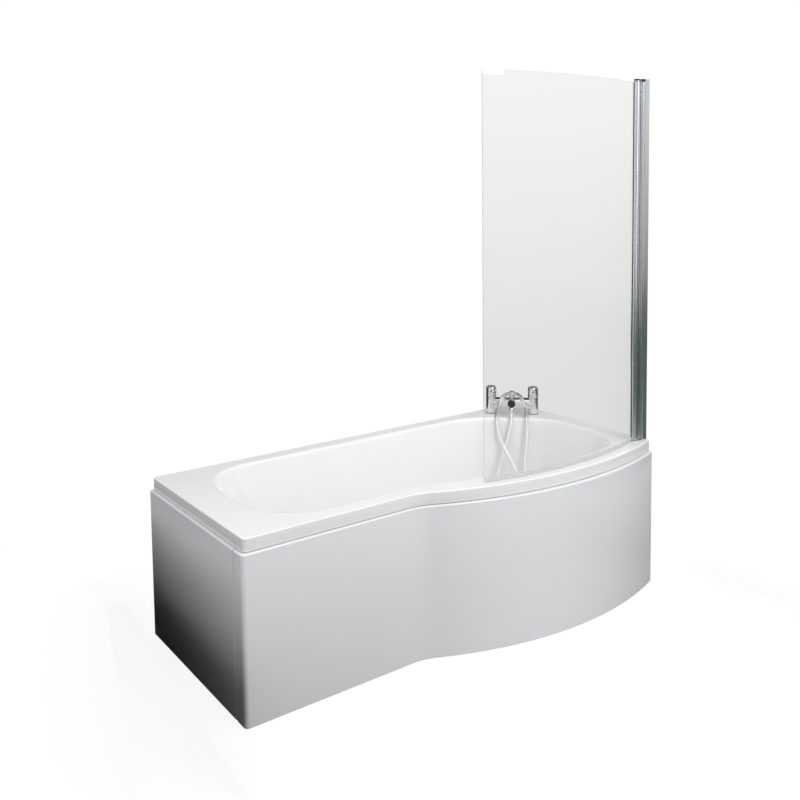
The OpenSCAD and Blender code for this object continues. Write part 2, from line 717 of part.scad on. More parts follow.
// Overflow: the body hangs behind the wall, the cover lies in the well
cup_r = 30;
cup_h = 32;
cup_back = shell_t + 3;
spigot_back = cup_back + cup_h / 2 + 2;
overflow_spigot = 75;
module overflow_body() {
    color("dimgray") overflow_place() difference() {
        union() {
            translate([0, 0, -cup_back - cup_h]) cylinder(r = cup_r, h = cup_h, $fn = 48);
            translate([0, 0, -cup_back - 4]) cylinder(r = cover_d / 2 - 1, h = 4, $fn = 48);
            translate([0, 0, -cup_back - 1]) cylinder(r = overflow_hole_r - 0.5, h = cup_back, $fn = 48);
            translate([0, 0, -spigot_back]) rotate([-90, 0, 0])
                cylinder(r = overflow_hose_d / 2, h = overflow_spigot, $fn = 48);
        }
        difference() {
            translate([0, 0, -cup_back - cup_h + 3])
                cylinder(r = overflow_hole_r - 4, h = cup_h + cup_back, $fn = 48);
            translate([0, 0, -cup_back - cup_h]) cylinder(r = 6, h = cup_h + cup_back - 3, $fn = 32);
        }
        translate([0, 0, -cup_back - 12]) cylinder(d = 6 + 2 * screw_gap, h = 20, $fn = 24);
        translate([0, cup_r - 12, -spigot_back]) rotate([-90, 0, 0])
            cylinder(r = overflow_hose_d / 2 - 3, h = overflow_spigot, $fn = 48);
    }
}
module overflow_seal() {
    color("black") overflow_place() translate([0, 0, -cup_back])
        ring(cover_d / 2 - 2, overflow_hole_r, 3 - face_gap);
}
cover_lift = 2;
module overflow_cover() {
    color("silver") overflow_place() translate([0, 0, cover_lift]) difference() {
        union() {
            rotate_extrude($fn = 64)
                polygon([[0, 3], [cover_d / 2 - 3, 3], [cover_d / 2 - 3, -1], [cover_d / 2, -1],
                [cover_d / 2, 4], [cover_d / 2 - 2, 6], [0, 7]]);
            cylinder(r = 6, h = 4, $fn = 32);
        }
        translate([0, 0, -1]) cylinder(d = 6 + 2 * screw_gap, h = 10, $fn = 24);
        for (a = [60, 90, 120]) rotate([0, 0, a]) translate([cover_d / 2 - 14, -3, -2]) cube([20, 6, 5.5]);
    }
}
module overflow_screw() {
    color("silver") overflow_place() {
        translate([0, 0, -cup_back - 10]) cylinder(d = 6, h = cup_back + 10 + cover_lift + 7.4, $fn = 24);
        translate([0, 0, cover_lift + 7.2]) cylinder(d = 12, h = 2, $fn = 32);
    }
}

// The overflow hose runs down behind the well's wall and under its floor to the waste
spigot_dir = [0, sin(overflow_tilt), -cos(overflow_tilt)];
hose_start = [overflow_x, overflow_y, rim_h - overflow_drop]
    - spigot_back * [0, cos(overflow_tilt), sin(overflow_tilt)] + overflow_spigot * spigot_dir;
inlet_dir = [sin(slot_a), -cos(slot_a), 0];
hose_end = [waste_x, waste_y, spigot_z] + spigot_end * inlet_dir;
hose_lead = 10;
bend_r = floor_r + shell_t + overflow_hose_d / 2 + 4;
bend_y = well_line[3] - well_bulge + wall_lean + floor_r;
bend_a0 = 12;
overflow_route = concat(
    [hose_start, hose_start + hose_lead * spigot_dir],
    [hose_start + [1, 8, -64], hose_start + [3, 14, -110]],
    [for (a = [bend_a0:13:90])
        [overflow_x + 6 + 22 * a / 90, bend_y - bend_r * cos(a), wall_foot_z - bend_r * sin(a)]],
    [for (s = [0.35, 0.6, 0.82]) [
        overflow_x + 28 + (hose_end[0] - overflow_x - 28) * s,
        bend_y + (hose_end[1] - bend_y) * s,
        wall_foot_z - bend_r + (spigot_z - wall_foot_z + bend_r) * s
    ]],
    [hose_end + hose_lead * inlet_dir, hose_end]
);
module overflow_hose() {
    last = len(overflow_route) - 1;
    outer = [for (i = [0:last]) tube_ring(overflow_route, i, overflow_hose_d / 2, 12)];
    inner = [for (i = [last:-1:0]) tube_ring(overflow_route, i, overflow_hose_d / 2 - 2.5, 12)];
    color("gray") skin(concat(outer, inner), false);
}

// Bottle trap under the waste
trap_cap_t = 5;
trap_foot_z = tail_bottom_z - 66;
trap_r = 45;
trap_wall = 3;
trap_top_z = tail_bottom_z - 10;
trap_pipe_r = 21;
trap_pipe_z = trap_foot_z + 32;
trap_pipe_end = 92;
trap_neck_r = tail_d / 2;
module trap_body() {
    inside_h = trap_top_z - trap_wall - trap_foot_z - trap_cap_t;
    color("white") waste_place(0) difference() {
        union() {
            translate([0, 0, trap_foot_z + trap_cap_t + face_gap])
                cylinder(r = trap_r, h = trap_top_z - trap_foot_z - trap_cap_t - face_gap, $fn = 64);
            translate([0, 0, trap_top_z - 1]) cylinder(r = trap_neck_r, h = 11 - face_gap, $fn = 64);
            translate([0, 0, trap_pipe_z]) rotate([-90, 0, 0])
                cylinder(r = trap_pipe_r, h = trap_pipe_end, $fn = 64);
        }
        difference() {
            translate([0, 0, trap_foot_z])
                cylinder(r = trap_r - trap_wall, h = inside_h + trap_cap_t, $fn = 64);
            translate([0, 0, trap_foot_z + 16]) cylinder(r = trap_neck_r - 1, h = 80, $fn = 64);
        }
        translate([0, 0, trap_foot_z]) cylinder(r = trap_neck_r - 4, h = 100, $fn = 64);
        translate([0, trap_neck_r + 2, trap_pipe_z]) rotate([-90, 0, 0])
            cylinder(r = trap_pipe_r - 3, h = trap_pipe_end, $fn = 64);
    }
}
module trap_union_nut() {
    color("white") waste_place(trap_top_z + 1) hex_nut(64, 18, tail_d + 2 * thread_gap);
}
module trap_cap() {
    color("white") waste_place(trap_foot_z) difference() {
        cylinder(r = trap_r + 4, h = 9.5, $fn = 64);
        translate([0, 0, trap_cap_t]) cylinder(r = trap_r + thread_gap, h = 10, $fn = 64);
    }
}
outlet_nut_l = 26;
outlet_grip = 14;
module trap_outlet_nut() {
    color("white") waste_place(trap_pipe_z) translate([0, trap_pipe_end - outlet_grip, 0]) rotate([-90, 0, 0])
        difference() {
        cylinder(d = 54 / cos(30), h = outlet_nut_l, $fn = 6);
        translate([0, 0, -1]) cylinder(r = trap_pipe_r + thread_gap, h = outlet_grip + 2, $fn = 64);
        translate([0, 0, outlet_grip]) cylinder(d = pipe_d + 2 * thread_gap, h = outlet_nut_l, $fn = 64);
    }
}

// Tap: heights from the rim
washer_t = 2;
bar_r = 20;
bar_low_z = 37;
bar_top_z = 48;
handle_z = tap_h - handle_h;
handle_gap = 0.4;
tail_l = 75;
tail_free = 32;
groove_w = 2;
valve_r = 15;
spindle_d = 9;
boss_r = 12;
spout_back = knob_d / 2 + 0.4;
aerator_t = 5;
boss_z = 74;
boss_d = 18;
stem_d = 12;
outlet_reach = spout_reach - 19;
outlet_tilt = 20;
outlet_r = 7;
nut_l = 20;
nut_top_r = 11.5;
outlet_drop = spout_d / 2 + nut_top_r * sin(outlet_tilt) + 2;
module outlet_place() {
    translate([0, -outlet_reach, spout_z]) rotate([-outlet_tilt, 0, 0]) children();
}
module tap_body() {
    color("silver") tap_place() difference() {
        union() {
            both_tails() translate([0, 0, washer_t])
                cylinder(d = pillar_d, h = handle_z - handle_gap - washer_t, $fn = 64);
            both_tails() translate([0, 0, -tail_l]) cylinder(d = tap_tail_d, h = tail_free, $fn = 48);
            both_tails() translate([0, 0, -tail_l + tail_free - 1])
                cylinder(d = tap_tail_d - 1.5, h = groove_w + 2, $fn = 48);
            both_tails() translate([0, 0, -tail_l + tail_free + groove_w])
                cylinder(d = tap_tail_d, h = tail_l - tail_free - groove_w + washer_t + 1, $fn = 48);
            translate([-tap_centres / 2, 0, 0]) rotate([90, 0, 90]) linear_extrude(tap_centres) union() {
                translate([0, bar_low_z]) circle(r = bar_r, $fn = 64);
                translate([0, bar_top_z]) circle(r = bar_r, $fn = 64);
                translate([0.5 - bar_r, bar_low_z]) square([2 * bar_r - 1, bar_top_z - bar_low_z]);
            }
            translate([0, -spout_back, spout_z]) rotate([90, 0, 0])
                cylinder(d = spout_d, h = spout_reach - aerator_t - spout_back, $fn = 64);
            translate([0, 0, bar_top_z]) cylinder(r = boss_r, h = boss_z - bar_top_z, $fn = 48);
            outlet_place() translate([0, 0, -outlet_drop]) cylinder(r = outlet_r, h = outlet_drop, $fn = 32);
        }
        both_tails() translate([0, 0, -tail_l - 1]) cylinder(r = tap_tail_d / 2 - 4, h = 110, $fn = 32);
        both_tails() translate([0, 0, bar_low_z + 3]) cylinder(r = valve_r, h = tap_h, $fn = 48);
        translate([-tap_centres / 2, 0, bar_low_z - 4]) rotate([0, 90, 0])
            cylinder(r = 8, h = tap_centres, $fn = 32);
        translate([0, 0, spout_z]) rotate([90, 0, 0]) cylinder(r = 11, h = spout_reach, $fn = 48);
        translate([0, 0, bar_low_z - 4]) cylinder(d = stem_d + 2 * run_gap, h = tap_h, $fn = 48);
        outlet_place() translate([0, 0, -outlet_drop - 1]) cylinder(r = 4.5, h = outlet_drop, $fn = 32);
    }
}
module aerator() {
    color("black") tap_place(spout_z) translate([0, aerator_t - spout_reach, 0]) rotate([90, 0, 0]) union() {
        cylinder(d = spout_d - 0.6, h = aerator_t, $fn = 64);
        translate([0, 0, -9]) cylinder(r = 11 - run_gap, h = 10, $fn = 48);
    }
}
module tap_washers() {
    color("dimgray") tap_place() both_tails() ring(pillar_d / 2 + 1, tap_tail_d / 2 + thread_gap, washer_t);
}
module tap_backnuts() {
    color("gold") tap_place(-shell_t - deck_board_t - 10) both_tails()
        hex_nut(36, 10, tap_tail_d + 2 * thread_gap);
}
module ceramic_valves() {
    color("gold") tap_place(bar_low_z + 3) both_tails() difference() {
        cylinder(r = valve_r - run_gap, h = handle_z - handle_gap - bar_low_z - 3, $fn = 48);
        translate([0, 0, 12]) cylinder(d = spindle_d + 2 * run_gap, h = 40, $fn = 32);
    }
}
spindle_z = bar_low_z + 3 + 12 + face_gap;
spindle_top = handle_z + 24;
module spindle(side) {
    tap_place(spindle_z) translate([side * tap_centres / 2, 0, 0])
        cylinder(d = spindle_d, h = spindle_top - spindle_z, $fn = 32);
}
module hot_spindle() { color("gold") spindle(-1); }
module cold_spindle() { color("gold") spindle(1); }
dot_d = 7;
dot_z = tap_h - 20;
module handle(side) {
    tap_place() translate([side * tap_centres / 2, 0, 0]) difference() {
        translate([0, 0, handle_z]) rotate_extrude($fn = 64)
            polygon([[0, 0], [pillar_d / 2, 0], [pillar_d / 2, handle_h - 2.5],
                [pillar_d / 2 - 0.8, handle_h - 0.9], [pillar_d / 2 - 2.5, handle_h], [0, handle_h]]);
        translate([0, 0, handle_z - 1]) cylinder(d = spindle_d + 2 * screw_gap, h = 26, $fn = 32);
        translate([0, 0, dot_z]) rotate([90, 0, 0]) translate([0, 0, pillar_d / 2 - 2])
            cylinder(d = dot_d + 0.2, h = 5, $fn = 32);
    }
}
module hot_handle() { color("silver") handle(-1); }
module cold_handle() { color("silver") handle(1); }
module index_dot(side) {
    tap_place(dot_z) translate([side * tap_centres / 2, 0, 0]) rotate([90, 0, 0])
        translate([0, 0, pillar_d / 2 - 2]) cylinder(d = dot_d, h = 2.2, $fn = 32);
}
module hot_dot() { color("black") index_dot(-1); }
module cold_dot() { color("black") index_dot(1); }
knob_h = 22;
knob_z = boss_z + face_gap;
module diverter_knob() {
    color("silver") tap_place(knob_z) difference() {
        rotate_extrude($fn = 48)
            polygon([[0, 0], [knob_d / 2 - 1.5, 0], [knob_d / 2 - 1.5, knob_h - 8], [knob_d / 2, knob_h - 6],
            [knob_d / 2, knob_h - 1.5], [knob_d / 2 - 1.5, knob_h], [0, knob_h]]);
        translate([0, 0, -1]) cylinder(d = 6 + 2 * screw_gap, h = knob_h - 4, $fn = 32);
    }
}
module diverter_stem() {
    stem_z = bar_low_z - 3;
    color("gold") tap_place() union() {
        translate([0, 0, stem_z]) cylinder(d = stem_d, h = boss_z - stem_z - 12, $fn = 48);
        translate([0, 0, boss_z - 13]) cylinder(d = 6, h = 13 + knob_h - 6, $fn = 32);
    }
}
module hose_nut_tap() {
    color("silver") tap_place() outlet_place() translate([0, 0, -outlet_drop - nut_l]) difference() {
        cylinder(r1 = hose_d / 2 + 1, r2 = nut_top_r, h = nut_l, $fn = 48);
        translate([0, 0, 2]) cylinder(r = 5, h = nut_l, $fn = 32);
    }
}

// The shower hose's route in the tap's own axes: along the pillars, out from them and up from the rim.
// It hangs from the spout into the well, turns on the floor, climbs over the bar behind the knob and
// comes down again to the handset, which lies on the floor of the well.
outlet_l = outlet_drop + nut_l;
outlet_dir = [0, -sin(outlet_tilt), -cos(outlet_tilt)];
hose_from = [0, -outlet_reach, spout_z] + outlet_l * outlet_dir;
hose_points = [
    [-4, 107, -22], [-16, 121, -76], [-57, 166, -228], [-66, 200, -314], [-61, 240, -374], [-46, 292, -395.5],
    [-22, 328, -397.5], [14, 345, -397.5], [50, 336, -397.5], [74, 307, -396.5], [82, 268, -390],
    [79, 230, -362], [68, 200, -316], [55, 150, -186], [61, 130, -114], [64, 112, -44], [63, 97, 1],
    [60, 72, 18], [54, 44, 37], [44, 22, 68], [29, -3, 78], [17, -15.5, 80], [0, -20, 80], [-17, -15.5, 80],
    [-29, -3, 78], [-44, 22, 68], [-54, 44, 37], [-61, 72, 18], [-62, 98, -3], [-56, 114, -52],
    [-36, 133, -102], [38, 195, -230], [70, 234, -304], [100, 268, -352], [128, 299, -381], [134, 321, -390]
];
handset_from = [124, -352, -391];
handset_turn = 30;
handset_dir = [-sin(handset_turn), -cos(handset_turn), 0];
hose_route = concat(
    [hose_from, hose_from + hose_d * outlet_dir],
    [for (p = hose_points) [p[0], -p[1], p[2]]],
    [handset_from - hose_d * handset_dir, handset_from]
);
// The point halfway from one point of the route to the next, on a smooth curve through them all
function halfway(route, i) = (9 * (route[i] + route[i + 1]) - route[i - 1] - route[i + 2]) / 16;
hose_last = len(hose_route) - 1;
hose_line = concat(
    [hose_route[0]],
    [for (i = [1:hose_last - 2]) each [hose_route[i], halfway(hose_route, i)]],
    [hose_route[hose_last - 1], hose_route[hose_last]]
);
module shower_hose() {
    last = len(hose_line) - 1;
    color("silver") tap_place() skin([for (i = [0:last]) tube_ring(hose_line, i, hose_d / 2, 10)]);
}

// The handset, from its hose nut to its head
handset_nut_l = 22;
handle_l = 126;
head_r = 42;
head_t = 24;
head_at = handset_nut_l + handle_l + head_r - 0.5;
neck_r = 9;
module handset_place() {
    tap_place() translate(handset_from) rotate([0, 0, -handset_turn]) children();
}
module hose_nut_handset() {
    color("silver") handset_place() rotate([90, 0, 0]) difference() {
        cylinder(r1 = hose_d / 2 + 1, r2 = 11.5, h = handset_nut_l, $fn = 48);
        translate([0, 0, 2]) cylinder(r = 5, h = handset_nut_l, $fn = 32);
    }
}
head_z = face_gap - well_depth - handset_from[2];
neck_z = head_z + (head_t - 4) / 2;
module handset_body() {
    color("silver") handset_place() difference() {
        union() {
            translate([0, -handset_nut_l, 0]) rotate([90, 0, 0])
                cylinder(r1 = 11, r2 = 12.5, h = handle_l, $fn = 48);
            translate([0, -handset_nut_l - handle_l + 8, neck_z]) rotate([90, 0, 0])
                cylinder(r = neck_r, h = 12, $fn = 32);
            translate([0, -head_at, head_z]) cylinder(r = head_r, h = head_t - 4, $fn = 64);
        }
        translate([0, -handset_nut_l + 1, neck_z]) rotate([90, 0, 0])
            cylinder(r = 5, h = handle_l + 8, $fn = 32);
        translate([0, -head_at, head_z + 3]) cylinder(r = head_r - 4, h = head_t, $fn = 64);
    }
}
function nozzles(ring_r) = max(ring_r * 2 / 3, 1);
module handset_plate() {
    color("gray") handset_place() translate([0, -head_at, head_z + head_t - 4]) difference() {
        union() {
            cylinder(r = head_r - 0.5, h = 3, $fn = 64);
            translate([0, 0, -3]) ring(head_r - 4 - run_gap, head_r - 7, 4);
        }
        for (ring_r = [0:9:27], k = [1:nozzles(ring_r)]) rotate([0, 0, k * 360 / nozzles(ring_r)])
            translate([ring_r, 0, -1]) cylinder(r = 0.8, h = 6, $fn = 16);
    }
}

// Screen: it turns on pins at the pivot, and the glass runs off along its curve
slide_gap = 15;
slide_w = 29;
slide_d = profile_d - 5;
slide_x = wall_x - 4 - slide_w;
pivot_x = slide_x - slide_gap;
pivot_front = 52;
pivot_y = bulge_cy(rim_line) - sqrt(rim_r * rim_r - pow(pivot_x - apex_x, 2)) + pivot_front;
glass_lead = 30;
glass_a = asin((pivot_x - apex_x + glass_lead) / glass_r);
screen_z = rim_h + glass_gap;
screen_top = rim_h + profile_h;
bracket_plate_t = 4;
bush_flange_t = 1.7;
low_plate_z = rim_h + 2;
high_plate_z = screen_top - 10;
tube_z = low_plate_z + bracket_plate_t + bush_flange_t + face_gap;
tube_top = high_plate_z - face_gap - bush_flange_t;
bush_r = 7;
bush_l = 20;
jaw_l = 34;
jaw_r = 7;
slot_r = glass_t / 2 + 1.1;
glass_in = 14;
profile_wall = 2;
profile_x = wall_x - profile_w;
profile_screw_x = wall_x - profile_w / 2;
module screen_place() {
    translate([pivot_x, pivot_y, 0]) rotate([0, 0, glass_a]) children();
}
// A piece of the glass's own curve, from one distance along it to another
module along_glass(from, to, inner, outer, z, h) {
    deg = 180 / (PI * glass_r);
    translate([0, glass_r, z]) rotate([0, 0, -90 - to * deg])
        rotate_extrude(angle = (to - from) * deg, $fn = 720)
        translate([glass_r + inner, 0]) square([outer - inner, h]);
}
module wall_profile() {
    color("silver") difference() {
        translate([profile_x, pivot_y - profile_d / 2, rim_h]) cube([profile_w, profile_d, profile_h]);
        translate([profile_x - 1, pivot_y - profile_d / 2 + profile_wall, rim_h - 1])
            cube([profile_w - profile_wall + 1, profile_d - 2 * profile_wall, profile_h + 2]);
        for (z = profile_screw_z) translate([wall_x - profile_wall - 1, pivot_y, z]) rotate([0, 90, 0])
            cylinder(d = wall_screw_d, h = profile_wall + 2, $fn = 24);
        for (z = profile_screw_z) translate([profile_screw_x, pivot_y + profile_d / 2 + 1, z])
            rotate([90, 0, 0])
            cylinder(d = screw_d + 2 * screw_gap, h = profile_wall + 2, $fn = 24);
    }
}
module slide_profile() {
    wall = 1.6;
    z0 = low_plate_z + bracket_plate_t;
    color("silver") difference() {
        translate([slide_x, pivot_y - slide_d / 2, z0]) cube([slide_w, slide_d, high_plate_z - z0]);
        translate([slide_x + wall, pivot_y - slide_d / 2 + wall, z0 - 1])
            cube([slide_w - 2 * wall, slide_d - 2 * wall, profile_h]);
        for (z = profile_screw_z) translate([profile_screw_x, pivot_y + profile_d / 2, z]) rotate([90, 0, 0])
            cylinder(d = screw_d + 2 * screw_gap, h = profile_d / 2, $fn = 24);
        for (z = profile_screw_z) translate([slide_x + slide_w - wall - 1, pivot_y, z]) rotate([0, 90, 0])
            cylinder(d = 12, h = wall + 2, $fn = 24);
    }
}
module pivot_brackets() {
    plate_x = slide_x + slide_w - pivot_x - 6;
    color("silver") for (low = [true, false])
        translate([pivot_x, pivot_y, low ? low_plate_z : high_plate_z]) {
        cylinder(r = 12, h = bracket_plate_t, $fn = 48);
        translate([0, -11.5, 0]) cube([plate_x, 23, bracket_plate_t]);
        translate([0, 0, low ? bracket_plate_t - 1 : -bush_l - 1])
            cylinder(d = pin_d, h = bush_l + 2, $fn = 48);
    }
}
module pivot_bushes() {
    color("ivory") translate([pivot_x, pivot_y, 0]) for (low = [true, false]) difference() {
        union() {
            translate([0, 0, low ? tube_z : tube_top - bush_l - 2])
                cylinder(r = bush_r, h = bush_l + 2, $fn = 48);
            translate([0, 0, low ? tube_z - bush_flange_t : tube_top])
                cylinder(r = 10.5, h = bush_flange_t, $fn = 48);
        }
        translate([0, 0, low ? tube_z - 5 : tube_top - bush_l - 5])
            cylinder(d = pin_d + 2 * run_gap, h = bush_l + 10, $fn = 48);
    }
}
module glass_channel() {
    h = tube_top - tube_z;
    color("silver") screen_place() difference() {
        union() {
            translate([0, 0, tube_z]) cylinder(d = tube_d, h = h, $fn = 64);
            along_glass(2, jaw_l, -jaw_r, jaw_r, tube_z, h);
        }
        translate([0, 0, tube_z - 1]) cylinder(r = bush_r + run_gap, h = h + 2, $fn = 48);
        along_glass(glass_in - 1, jaw_l + 5, -slot_r, slot_r, tube_z - 1, h + 2);
    }
}
module glass_gasket() {
    h = tube_top - screen_z;
    color("dimgray") screen_place() {
        along_glass(glass_in - 0.5, jaw_l + 0.5, run_gap + glass_t / 2, slot_r - run_gap, screen_z, h);
        along_glass(glass_in - 0.5, jaw_l + 0.5, run_gap - slot_r, -run_gap - glass_t / 2, screen_z, h);
    }
}
module screen_glass() {
    color("lightcyan", 0.3) screen_place()
        along_glass(glass_in, glass_w, -glass_t / 2, glass_t / 2, screen_z, screen_top - 14 - screen_z);
}
seal_grip = 8;
seal_r = glass_t / 2 + 1.2;
seal_from = jaw_l + 2;
seal_to = glass_w - 1;
seal_z = screen_z - 2 - face_gap;
module foot_seal() {
    color("gainsboro", 0.6) screen_place() {
        along_glass(seal_from, seal_to, -seal_r, seal_r, seal_z, 2);
        along_glass(seal_from, seal_to, run_gap + glass_t / 2, seal_r, seal_z, seal_grip);
        along_glass(seal_from, seal_to, -seal_r, -run_gap - glass_t / 2, seal_z, seal_grip);
        along_glass(seal_from, seal_to, -0.9, 0.9, rim_h + face_gap, glass_gap - 1.5 - face_gap);
    }
}
module profile_caps() {
    cap_z = high_plate_z + bracket_plate_t;
    color("black") {
        translate([pivot_x, pivot_y, cap_z]) cylinder(r = 11.5, h = screen_top - cap_z, $fn = 48);
        translate([slide_x, pivot_y - slide_d / 2 + 0.5, cap_z])
            cube([slide_w, slide_d - 1, screen_top - cap_z]);
        translate([pivot_x - 8, pivot_y - 10, rim_h]) cube([slide_gap + slide_w, 20, low_plate_z - rim_h]);
    }
}

bath_shell();
baseboard();
rim_battens();
tap_deck_board();
leg_bars();
leg_studs();
leg_nuts();
leg_feet();
wall_brackets();
fixing_screws();
front_panel();
end_panel();
panel_battens();
panel_clips();
waste_flange();
waste_seal();
waste_under_seal();
waste_body();
waste_backnut();
plug_guide();
plug_spring();
waste_plug();
plug_seal();
overflow_body();
overflow_seal();
overflow_cover();
overflow_screw();
overflow_hose();
trap_body();
trap_union_nut();
trap_cap();
trap_outlet_nut();
tap_body();
aerator();
tap_washers();
tap_backnuts();
ceramic_valves();
hot_spindle();
cold_spindle();
hot_handle();
cold_handle();
hot_dot();
cold_dot();
diverter_knob();
diverter_stem();
hose_nut_tap();
shower_hose();
hose_nut_handset();
handset_body();
handset_plate();
wall_profile();
slide_profile();
pivot_brackets();
pivot_bushes();
glass_channel();
glass_gasket();
screen_glass();
foot_seal();
profile_caps();
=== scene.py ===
from math import asin, atan2, ceil, cos, degrees, floor, pi, radians, sin, sqrt, tan

import bmesh
import bpy
from mathutils import Matrix, Vector


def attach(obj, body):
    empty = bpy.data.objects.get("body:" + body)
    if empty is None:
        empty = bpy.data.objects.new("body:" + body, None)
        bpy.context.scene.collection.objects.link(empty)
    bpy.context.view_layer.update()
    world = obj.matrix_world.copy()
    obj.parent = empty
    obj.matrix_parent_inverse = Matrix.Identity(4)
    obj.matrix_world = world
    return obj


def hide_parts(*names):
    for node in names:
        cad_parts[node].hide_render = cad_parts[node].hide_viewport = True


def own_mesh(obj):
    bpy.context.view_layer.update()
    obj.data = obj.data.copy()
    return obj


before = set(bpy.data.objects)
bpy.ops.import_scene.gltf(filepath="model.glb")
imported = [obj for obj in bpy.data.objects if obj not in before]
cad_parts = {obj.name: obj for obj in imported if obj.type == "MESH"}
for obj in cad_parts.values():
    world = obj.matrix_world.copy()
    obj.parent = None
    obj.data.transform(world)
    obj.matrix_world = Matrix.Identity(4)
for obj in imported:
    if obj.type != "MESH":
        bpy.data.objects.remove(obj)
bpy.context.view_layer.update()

# Camera: it stands off the narrow end's front corner, at a standing person's eye level, and looks down a
# little along the bath. Its lens has a normal angle and is shifted down to frame the bath.
camera_at = Vector((-1.9312, -2.5355, 1.5468))
camera_yaw, camera_pitch, camera_roll = radians(36.03), radians(4.495), radians(0.671)
level_ahead = Vector((sin(camera_yaw), cos(camera_yaw), 0))
level_right = Vector((cos(camera_yaw), -sin(camera_yaw), 0))
ahead = cos(camera_pitch) * level_ahead - sin(camera_pitch) * Vector((0, 0, 1))
level_down = ahead.cross(level_right)
right = cos(camera_roll) * level_right + sin(camera_roll) * level_down
down = cos(camera_roll) * level_down - sin(camera_roll) * level_right
camera = bpy.data.objects.new("camera", bpy.data.cameras.new("camera"))
bpy.context.scene.collection.objects.link(camera)
camera.matrix_world = Matrix.Translation(camera_at) @ Matrix((right, -down, -ahead)).transposed().to_4x4()
camera.data.sensor_width = 36
camera.data.lens = 40.657
camera.data.shift_y = -0.1802
camera.data.clip_end = 60
bpy.context.scene.camera = camera

# Shower hose: two metres of double-lock metal hose, wound from a folded strip of stainless steel and
# plated bright. A cone nut at each end screws it to the spout's outlet and to the handset. It hangs into
# the well, turns on its floor, climbs over the bar behind the knob and comes down to the handset.
MM = 0.001
tap_at = (723, 301, 555)
tap_frame = Matrix.Translation(tap_at) @ Matrix.Rotation(radians(-45), 4, "Z")
hose_d = 14
spout_reach, spout_z, spout_r = 99, 62, 16
outlet_reach, outlet_tilt, outlet_r = spout_reach - 19, radians(20), 7
nut_l, nut_top_r = 20, 11.5
outlet_drop = spout_r + nut_top_r * sin(outlet_tilt) + 2
outlet_dir = Vector((0, -sin(outlet_tilt), -cos(outlet_tilt)))
hose_from = Vector((0, -outlet_reach, spout_z)) + (outlet_drop + nut_l) * outlet_dir
handset_from = Vector((124, -352, -391))
handset_turn = radians(30)
handset_dir = Vector((-sin(handset_turn), -cos(handset_turn), 0))
hose_points = [
    (-4, 107, -22), (-16, 121, -76), (-57, 166, -228), (-66, 200, -314), (-61, 240, -374), (-46, 292, -395.5),
    (-22, 328, -397.5), (14, 345, -397.5), (50, 336, -397.5), (74, 307, -396.5), (82, 268, -390),
    (79, 230, -362), (68, 200, -316), (55, 150, -186), (61, 130, -114), (64, 112, -44), (63, 97, 1),
    (60, 72, 18), (54, 44, 37), (44, 22, 68), (29, -3, 78), (17, -15.5, 80), (0, -20, 80), (-17, -15.5, 80),
    (-29, -3, 78), (-44, 22, 68), (-54, 44, 37), (-61, 72, 18), (-62, 98, -3), (-56, 114, -52),
    (-36, 133, -102), (38, 195, -230), (70, 234, -304), (100, 268, -352), (128, 299, -381), (134, 321, -390),
]
hose_route = [hose_from, hose_from + hose_d * outlet_dir]
hose_route += [Vector((x, -y, z)) for x, y, z in hose_points]
hose_route += [handset_from - hose_d * handset_dir, handset_from]


def smooth_line(points, steps):
    """The smooth curve through points, with its first and last stretches straight."""
    line = [points[0]]
    for i in range(1, len(points) - 2):
        a, b, c, d = points[i - 1:i + 3]
        for k in range(steps):
            t = k / steps
            line.append(0.5 * (2 * b + (c - a) * t + (2 * a - 5 * b + 4 * c - d) * t ** 2
                               + (3 * b - a - 3 * c + d) * t ** 3))
    return line + points[-2:]


def even_line(line, spacing):
    """The same line with its points at an even spacing."""
    spans = [(b - a).length for a, b in zip(line, line[1:])]
    count = ceil(sum(spans) / spacing)
    step, out, i, done = sum(spans) / count, [line[0]], 0, 0.0
    for k in range(1, count):
        while done + spans[i] < k * step:
            done += spans[i]
            i += 1
        out.append(line[i].lerp(line[i + 1], (k * step - done) / spans[i]))
    return out + [line[-1]]


def tube_rings(line, radius, sides):
    """Rings along a line that don't twist. radius takes each point's distance along it and its turn."""
    rings, side, gone = [], None, 0.0
    for i, at in enumerate(line):
        along = (line[min(i + 1, len(line) - 1)] - line[max(i - 1, 0)]).normalized()
        side = along.orthogonal() if side is None else side - side.dot(along) * along
        side.normalize()
        up = along.cross(side)
        gone += (at - line[i - 1]).length if i else 0.0
        rings.append([
            at + radius(gone, k / sides) * (cos(2 * pi * k / sides) * side + sin(2 * pi * k / sides) * up)
            for k in range(sides)
        ])
    return rings


def skin(rings, looped=False):
    """Vertices and faces of a closed form through rings of one count, with flat ends or its ends joined."""
    n, m = len(rings[0]), len(rings)
    verts = [p for ring in rings for p in ring]
    faces = [
        (i * n + k, i * n + (k + 1) % n, (i + 1) % m * n + (k + 1) % n, (i + 1) % m * n + k)
        for i in range(m if looped else m - 1) for k in range(n)
    ]
    if not looped:
        faces += [tuple(range(n - 1, -1, -1)), tuple(range((m - 1) * n, m * n))]
    return verts, faces


